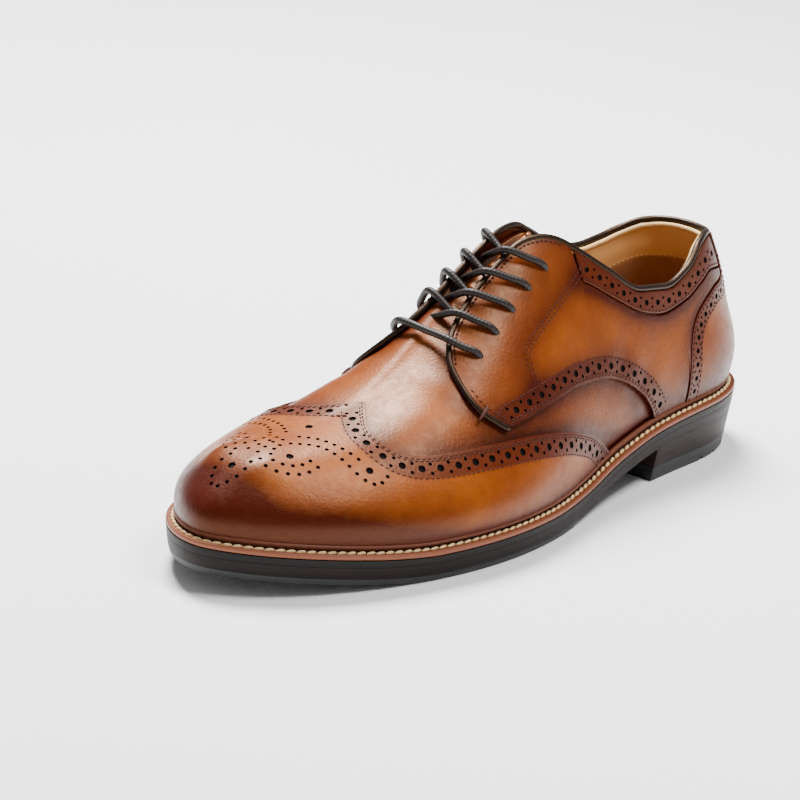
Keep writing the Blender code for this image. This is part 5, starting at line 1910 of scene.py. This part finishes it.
        knots = np.column_stack([FACING_SEAM["station"], FACING_SEAM["height"]])
        line = smooth(np.linspace(0, 1, 80), way, knots, free=True)
        seam = Path(self.last, side.value * turn_of(line[:, 0]), line[:, 1])
        self.stitch(seam, 1, (0, 1.9 * MM))
        rim = Path.cut(self.last, side, TOPLINE, np.linspace(0.41, 0.645, 120), side.column)
        rim_size = (1.8 * MM, 0.9 * MM, 0.8 * MM)
        self.seams.sew("brown", rim.beside(-1.0 * MM * left), self.top, 2.0 * MM, rim_size)
        for station, height in zip(EYELETS["station"], EYELETS["height"]):
            turn, level = np.array([side.value * turn_of(station)]), np.array([height])
            point, normal = self.last.raised(turn, level, 0)[0], self.last.normal(turn, level)[0]
            holes.append((point - normal * 1.0 * MM, normal, 3.6 * MM))
        band_line = Path(self.last, turns_line[stations < band_front], head[stations < band_front])
        front = COUNTER_EDGE["station"]
        counter_line = Path(self.last, side.value * turn_of(front[2:]), np.array(COUNTER_EDGE["height"][2:]))
        self.darken(quarter, [seam], 0.55, 6.5 * MM)
        self.darken(quarter, [band_line, counter_line], 0.6, 7.5 * MM)
        self.darken(quarter, [path.beside(8.4 * MM * left)], 0.5, 5.5 * MM)
        self.redden(quarter, seam, side)
        self.punch(quarter, holes, name + "_hole_floors", name)

    def build_band(self, side: Side) -> None:
        """Perforated strip under the collar.

        Args:
            side: Which half of it.
        """
        stations = np.linspace(0.060, 0.391, 110)
        turns_line = side.value * turn_of(stations)
        foot, head = (read(table, stations, side.column) for table in (BAND_FOOT, TOPLINE))
        name = "collar_band_" + side.column
        band = self.panel(name + "_panel", turns_line, between(foot, head, 14), self.top, self.leather)
        middle = Path(self.last, turns_line, (foot + head) / 2)
        edge = Path(self.last, turns_line, foot)
        work = Brogueing(self.last, 2.5 * MM, 1.25 * MM, 7.2 * MM, middle=0.0, spread=1.7 * MM)
        holes = work.holes(middle, 5 * MM, 4 * MM)
        left = 1 if side is Side.MEDIAL else -1
        self.stitch(edge, left, (1.1 * MM,), (1 * MM, 1 * MM))
        self.band_shade(band, [middle], 14 * MM)
        self.punch(band, holes, name + "_hole_floors", name)

    def build_piping(self) -> None:
        """Rolled piping round facings and collar, and the bar tacks at the corners."""
        corner_s = np.linspace(0.604, 0.648, 24)
        rounding = [0.6475, 0.646, 0.6435, 0.641, 0.6375, 0.634]
        edge_s = np.concatenate([rounding, np.linspace(0.63, 0.36, 90)])
        collar_s = station_of(np.linspace(turn_of(0.358), 0, 90))
        sides = []
        upper_s = np.concatenate([edge_s, collar_s])
        for side in Side:
            heights = np.concatenate([read(QUARTER_FOOT, corner_s), read(TOPLINE, upper_s, side.column)])
            sides.append((side.value * turn_of(np.concatenate([corner_s, upper_s])), heights))
        turns = np.concatenate([sides[0][0], sides[1][0][-2::-1]])
        heights = np.concatenate([sides[0][1], sides[1][1][-2::-1]])
        edge, normal = self.last.raised(turns, heights, 0.0), self.last.normal(turns, heights)
        along = unit(np.gradient(edge, axis=0))
        facing = np.clip((station_of(turns) - 0.36) / 0.08, 0, 1)
        width = facing * self.roll + (1 - facing) * self.collar_roll
        lift = (facing * 1.5 * MM + (1 - facing) * 0.5 * MM)[:, None]
        centre = edge + normal * lift + np.cross(normal, along) * (width * 0.9)[:, None]
        for _ in range(3):
            centre[1:-1] = (centre[:-2] + 2 * centre[1:-1] + centre[2:]) / 4
        width[0] = width[-1] = 0.55 * self.roll
        width[1] = width[-2] = 0.85 * self.roll
        roll = tube("piping_roll", centre, width, 16)
        hand_over(roll, self.piping_finish(), "piping_leather", "piping")
        for side in Side:
            turns, heights = side.value * turn_of(np.array([0.633, 0.645])), np.array([0.566, 0.548])
            point, ahead = self.last.raised(turns, heights, self.top)
            out = self.last.normal(turns, heights)[0]
            tack = 0.5 * (point + ahead) + out * 0.9 * MM
            self.seams.add("brown", [tack], [ahead - point], [out], (8.5 * MM, 1.3 * MM, 2.6 * MM))

    def piping_finish(self) -> bpy.types.Material:
        """Glazed dark calf of the piping."""
        dyes = {"tan": "#0F0A09", "light": "#15100E", "russet": "#0E0908", "deep": "#080505"}
        return Calf("glazed_dark_calf", **dyes, grain=0.7, gloss=0.34).make()

    def build_tongue(self) -> None:
        """Tongue under the lacing, with its stitched edge."""
        columns, rows = 70, 41
        share = np.linspace(0, 1, columns)
        across = np.linspace(-1, 1, rows)
        width = 0.26 - 0.05 * np.clip((0.25 - share) / 0.25, 0, 1)
        top = 0.384 + 0.075 * np.abs(across) ** 4
        stations = 0.63 + np.outer(share, top - 0.63)
        spread_out = np.outer(width, across)
        turns = np.where(spread_out > 1e-9, -1.0, 1.0) * turn_of(stations)
        heights = 1 - np.abs(spread_out)
        lift = -3.9 * MM + 3.2 * MM * soft_step(0.412 - stations, 0.0, 0.022)
        points = self.last.raised(turns, heights, lift)
        way = (across[None, :, None] + 1) / 2
        chord = points[:, :1] * (1 - way) + points[:, -1:] * way
        dome = (0.94 - 0.16 * soft_step(share, 0.05, 0.9) - 0.30 * soft_step(share, 0.86, 1.0))[:, None, None]
        points = chord + dome * (points - chord)
        for _ in range(6):
            points[:, 1:-1] = (points[:, :-2] + 2 * points[:, 1:-1] + points[:, 2:]) / 4
        tongue = sheet("tongue_panel", points)
        near_top = np.outer(np.exp(-(1 - share) * 18), np.ones(rows))
        store(tongue, "burnish", (0.25 + 0.3 * near_top).T.ravel())
        store(tongue, "band", 0)
        turn_sheet(tongue, points[35, 20], self.last.normal(turns[35:36, 20], heights[35:36, 20])[0])
        apply_modifier(tongue, "SOLIDIFY", thickness=2.4 * MM, offset=-1)
        soften(tongue, 0.9 * MM, 4)
        shade(tongue, 45)
        hand_over(tongue, self.calf, "burnished_leather", "tongue")
        inner = points[:-3, 3:-3]
        rim = np.concatenate([inner[30:, 0], inner[-1, 1:-1], inner[:29:-1, -1]])
        run = run_of(rim)
        line = along_line(np.linspace(0, run[-1], round(run[-1] / self.fine_pitch)), run, rim)
        tree = BVHTree.FromObject(tongue, bpy.context.evaluated_depsgraph_get())
        normals = [np.array(tree.find_nearest(Vector(point - CENTRE))[1]) for point in line]
        self.seams.add("brown", line, unit(np.gradient(line, axis=0)), normals, self.fine)

    def build(self) -> None:
        """Build and dress every piece of the upper."""
        self.build_shell()
        self.build_wing_cap()
        self.build_counter()
        for side in Side:
            self.build_quarter(side)
            self.build_band(side)
        self.build_piping()
        self.build_tongue()


@dataclass
class Lacing:
    """One round waxed lace through five pairs of eyelets, with its ends tucked in."""

    last: Last
    radius: float = 1.45 * MM
    on_facing: float = 3.5 * MM
    crest: float = 5.0 * MM
    low: float = -2.0 * MM

    def at(self, sign: int, station: float, height: float, lift: float) -> np.ndarray:
        """One point off the skin of one side."""
        return self.last.raised(sign * turn_of(np.array([station])), np.array([height]), lift)[0]

    def rising(self, level: int, side: Side) -> list:
        """Points of a strand from its eyelet up to the piping that it crosses.

        Args:
            level: Number of the eyelet, from the front.
            side: The side that it starts from.

        Returns:
            Points, the last one over the piping.
        """
        station, height = EYELETS["station"][level], EYELETS["height"][level]
        lead = LACE_LEAD[side.column][level]
        edge = read(TOPLINE, station + lead, side.column)[0]
        rise = self.crest - self.on_facing
        steps = (
            (-0.004, -0.006, -1.4 * MM),
            (0, 0, 1.2 * MM),
            (0.16 * lead, 0.16 * (edge - height), self.on_facing - 0.3 * MM),
            (0.55 * lead, 0.55 * (edge - height), self.on_facing + 0.3 * rise),
            (lead, edge + 0.015 - height, self.crest),
        )
        return [self.at(side.value, station + on, height + up, lift) for on, up, lift in steps]

    def strand(self, level: int, side: Side) -> np.ndarray:
        """Points of one crossing, out of its eyelet, over the gap and under the other facing.

        Args:
            level: Number of the eyelet, from the front.
            side: The side that it starts from.

        Returns:
            Centre line.
        """
        knots = self.rising(level, side)
        other = Side(-side.value)
        reach = 0.006 if side is Side.LATERAL else 0.016
        station = EYELETS["station"][level] + LACE_LEAD[side.column][level] + reach
        edge = read(TOPLINE, station, other.column)[0]
        dive = self.at(other.value, station, edge - 0.005, self.low)
        knots.append(0.5 * knots[-1] + 0.5 * dive + np.array([0, 0, 0.7 * MM]))
        knots += [dive, self.at(other.value, station + 0.002, edge - 0.06, self.low)]
        return self.through(np.array(knots))

    def bar(self) -> np.ndarray:
        """Centre line of the straight bar between the front eyelets.

        Returns:
            Its points.
        """
        lateral, medial = self.rising(0, Side.LATERAL), self.rising(0, Side.MEDIAL)
        middle = 0.5 * (lateral[-1] + medial[-1]) + np.array([0, 0, 0.4 * MM])
        return self.through(np.array(lateral + [middle] + medial[::-1]))

    def through(self, knots: np.ndarray) -> np.ndarray:
        """Smooth line through given points, at an even pace.

        Args:
            knots: The points.

        Returns:
            Points of the line.
        """
        run = run_of(knots)
        line = smooth(np.linspace(0, run[-1], 400), run, knots, free=True)
        way = run_of(line)
        return along_line(np.linspace(0, way[-1], 90), way, line)

    def build(self) -> None:
        """Build and dress the lace."""
        cord = Cord("waxed_cotton_lace", "#20140E", "#120B09", 1.5).make()
        hand_over(tube("lace_front_bar", self.bar(), self.radius), cord, "waxed_lace", "lace_bar")
        for level in range(1, 5):
            for side in Side:
                piece = tube(f"lace_{side.column}_{level + 1}", self.strand(level, side), self.radius)
                hand_over(piece, cord, "waxed_lace", f"lace_crossing_{level + 1}")


@dataclass(frozen=True)
class Studio:
    """Pale floor, soft light and the camera at the photo's angle."""

    azimuth: float = math.radians(129.6)
    elevation: float = math.radians(18.37)
    roll: float = math.radians(3.73)
    distance: float = 1.319
    focal_pixels: float = 3357.0
    frame_pixels: float = 800.0
    aim_column: float = 477.0
    aim_row: float = 379.0
    aim_height: float = 50 * MM

    def camera(self) -> None:
        """Place the camera, turned, rolled and shifted as the photo's frame needs."""
        az, el = self.azimuth, self.elevation
        back = Vector((math.sin(az) * math.cos(el), -math.cos(az) * math.cos(el), math.sin(el)))
        right = Vector((math.cos(az), math.sin(az), 0))
        up = back.cross(right)
        across = right * math.cos(self.roll) + up * math.sin(self.roll)
        upward = up * math.cos(self.roll) - right * math.sin(self.roll)
        aim = Vector((0, -CENTRE[1], self.aim_height))
        data = bpy.data.cameras.new("photo_camera")
        data.sensor_width = 36.0
        data.lens = self.focal_pixels / self.frame_pixels * data.sensor_width
        half = self.frame_pixels / 2
        data.shift_x = (half - self.aim_column) / self.frame_pixels
        data.shift_y = (self.aim_row - half) / self.frame_pixels
        data.clip_start = 0.05
        thing = bpy.data.objects.new("photo_camera", data)
        turn = Matrix((across, upward, back)).transposed()
        thing.matrix_world = Matrix.Translation(aim + back * self.distance) @ turn.to_4x4()
        bpy.context.scene.collection.objects.link(thing)
        bpy.context.scene.camera = thing

    def light(self, name: str, place: Vector, size: float, watts: float) -> None:
        """Add one soft white light aimed at the shoe.

        Args:
            name: The light's name.
            place: Where it hangs.
            size: Length of its sides.
            watts: Its power.
        """
        data = bpy.data.lights.new(name, "AREA")
        data.shape = "RECTANGLE"
        data.size = data.size_y = size
        data.energy = watts
        thing = bpy.data.objects.new(name, data)
        turn = (Vector((0, 0, self.aim_height)) - place).to_track_quat("-Z", "Y")
        thing.matrix_world = Matrix.Translation(place) @ turn.to_matrix().to_4x4()
        bpy.context.scene.collection.objects.link(thing)

    def floor(self) -> None:
        """Plain white floor."""
        free_selection()
        bpy.ops.mesh.primitive_plane_add(size=8, location=(0, 0, -0.2 * MM))
        thing = bpy.context.active_object
        thing.name = "studio_floor"
        paper = Surface("white_paper_sweep")
        share = paper.node("TexNoise", "Fac", paper.cloud(300, 2, 0.5))
        dull = {"Roughness": 0.85, "Specular IOR Level": 0.1}
        thing.data.materials.append(paper.dress(share, "#F4F4F4", "#FAFAFA", dull))

    def build(self) -> None:
        """Build the floor, lights and camera."""
        self.floor()
        world = bpy.data.worlds.new("studio_air")
        world.use_nodes = True
        background = world.node_tree.nodes["Background"]
        background.inputs["Color"].default_value = (1, 1, 1, 1)
        background.inputs["Strength"].default_value = 0.36
        bpy.context.scene.world = world
        self.light("far_softbox", Vector((-0.28, -0.60, 1.40)), 0.55, 84)
        self.light("near_softbox", Vector((-0.26, 0.54, 1.40)), 0.5, 21)
        self.camera()


def main() -> None:
    """Build the shoe's pieces in order, then the studio."""
    logging.basicConfig(level=logging.INFO, format="%(message)s")
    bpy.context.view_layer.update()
    last = Last()
    seams = Seams()
    SoleUnit(last).build()
    # painted shade: near-black for the hole walls and the discs inside the holes
    hole_shade = Thread("punched_hole_shadow", "#0C0604", "#060302", 0.9).make()
    Upper(last, Calf().make(), hole_shade, seams).build()
    Lacing(last).build()
    brown = Thread("brown_sewing_thread", "#451304", "#2A0A02", 0.75).make()
    seams.finish("brown", "upper_stitches", brown, "burnished_leather")
    cream = Thread("cream_lining_thread", "#E6CFA0", "#CBAA72", 0.6).make()
    seams.finish("cream", "lining_stitches", cream, "lining_leather")
    Studio().build()
    free_selection()


if __name__ == "__main__":
    main()
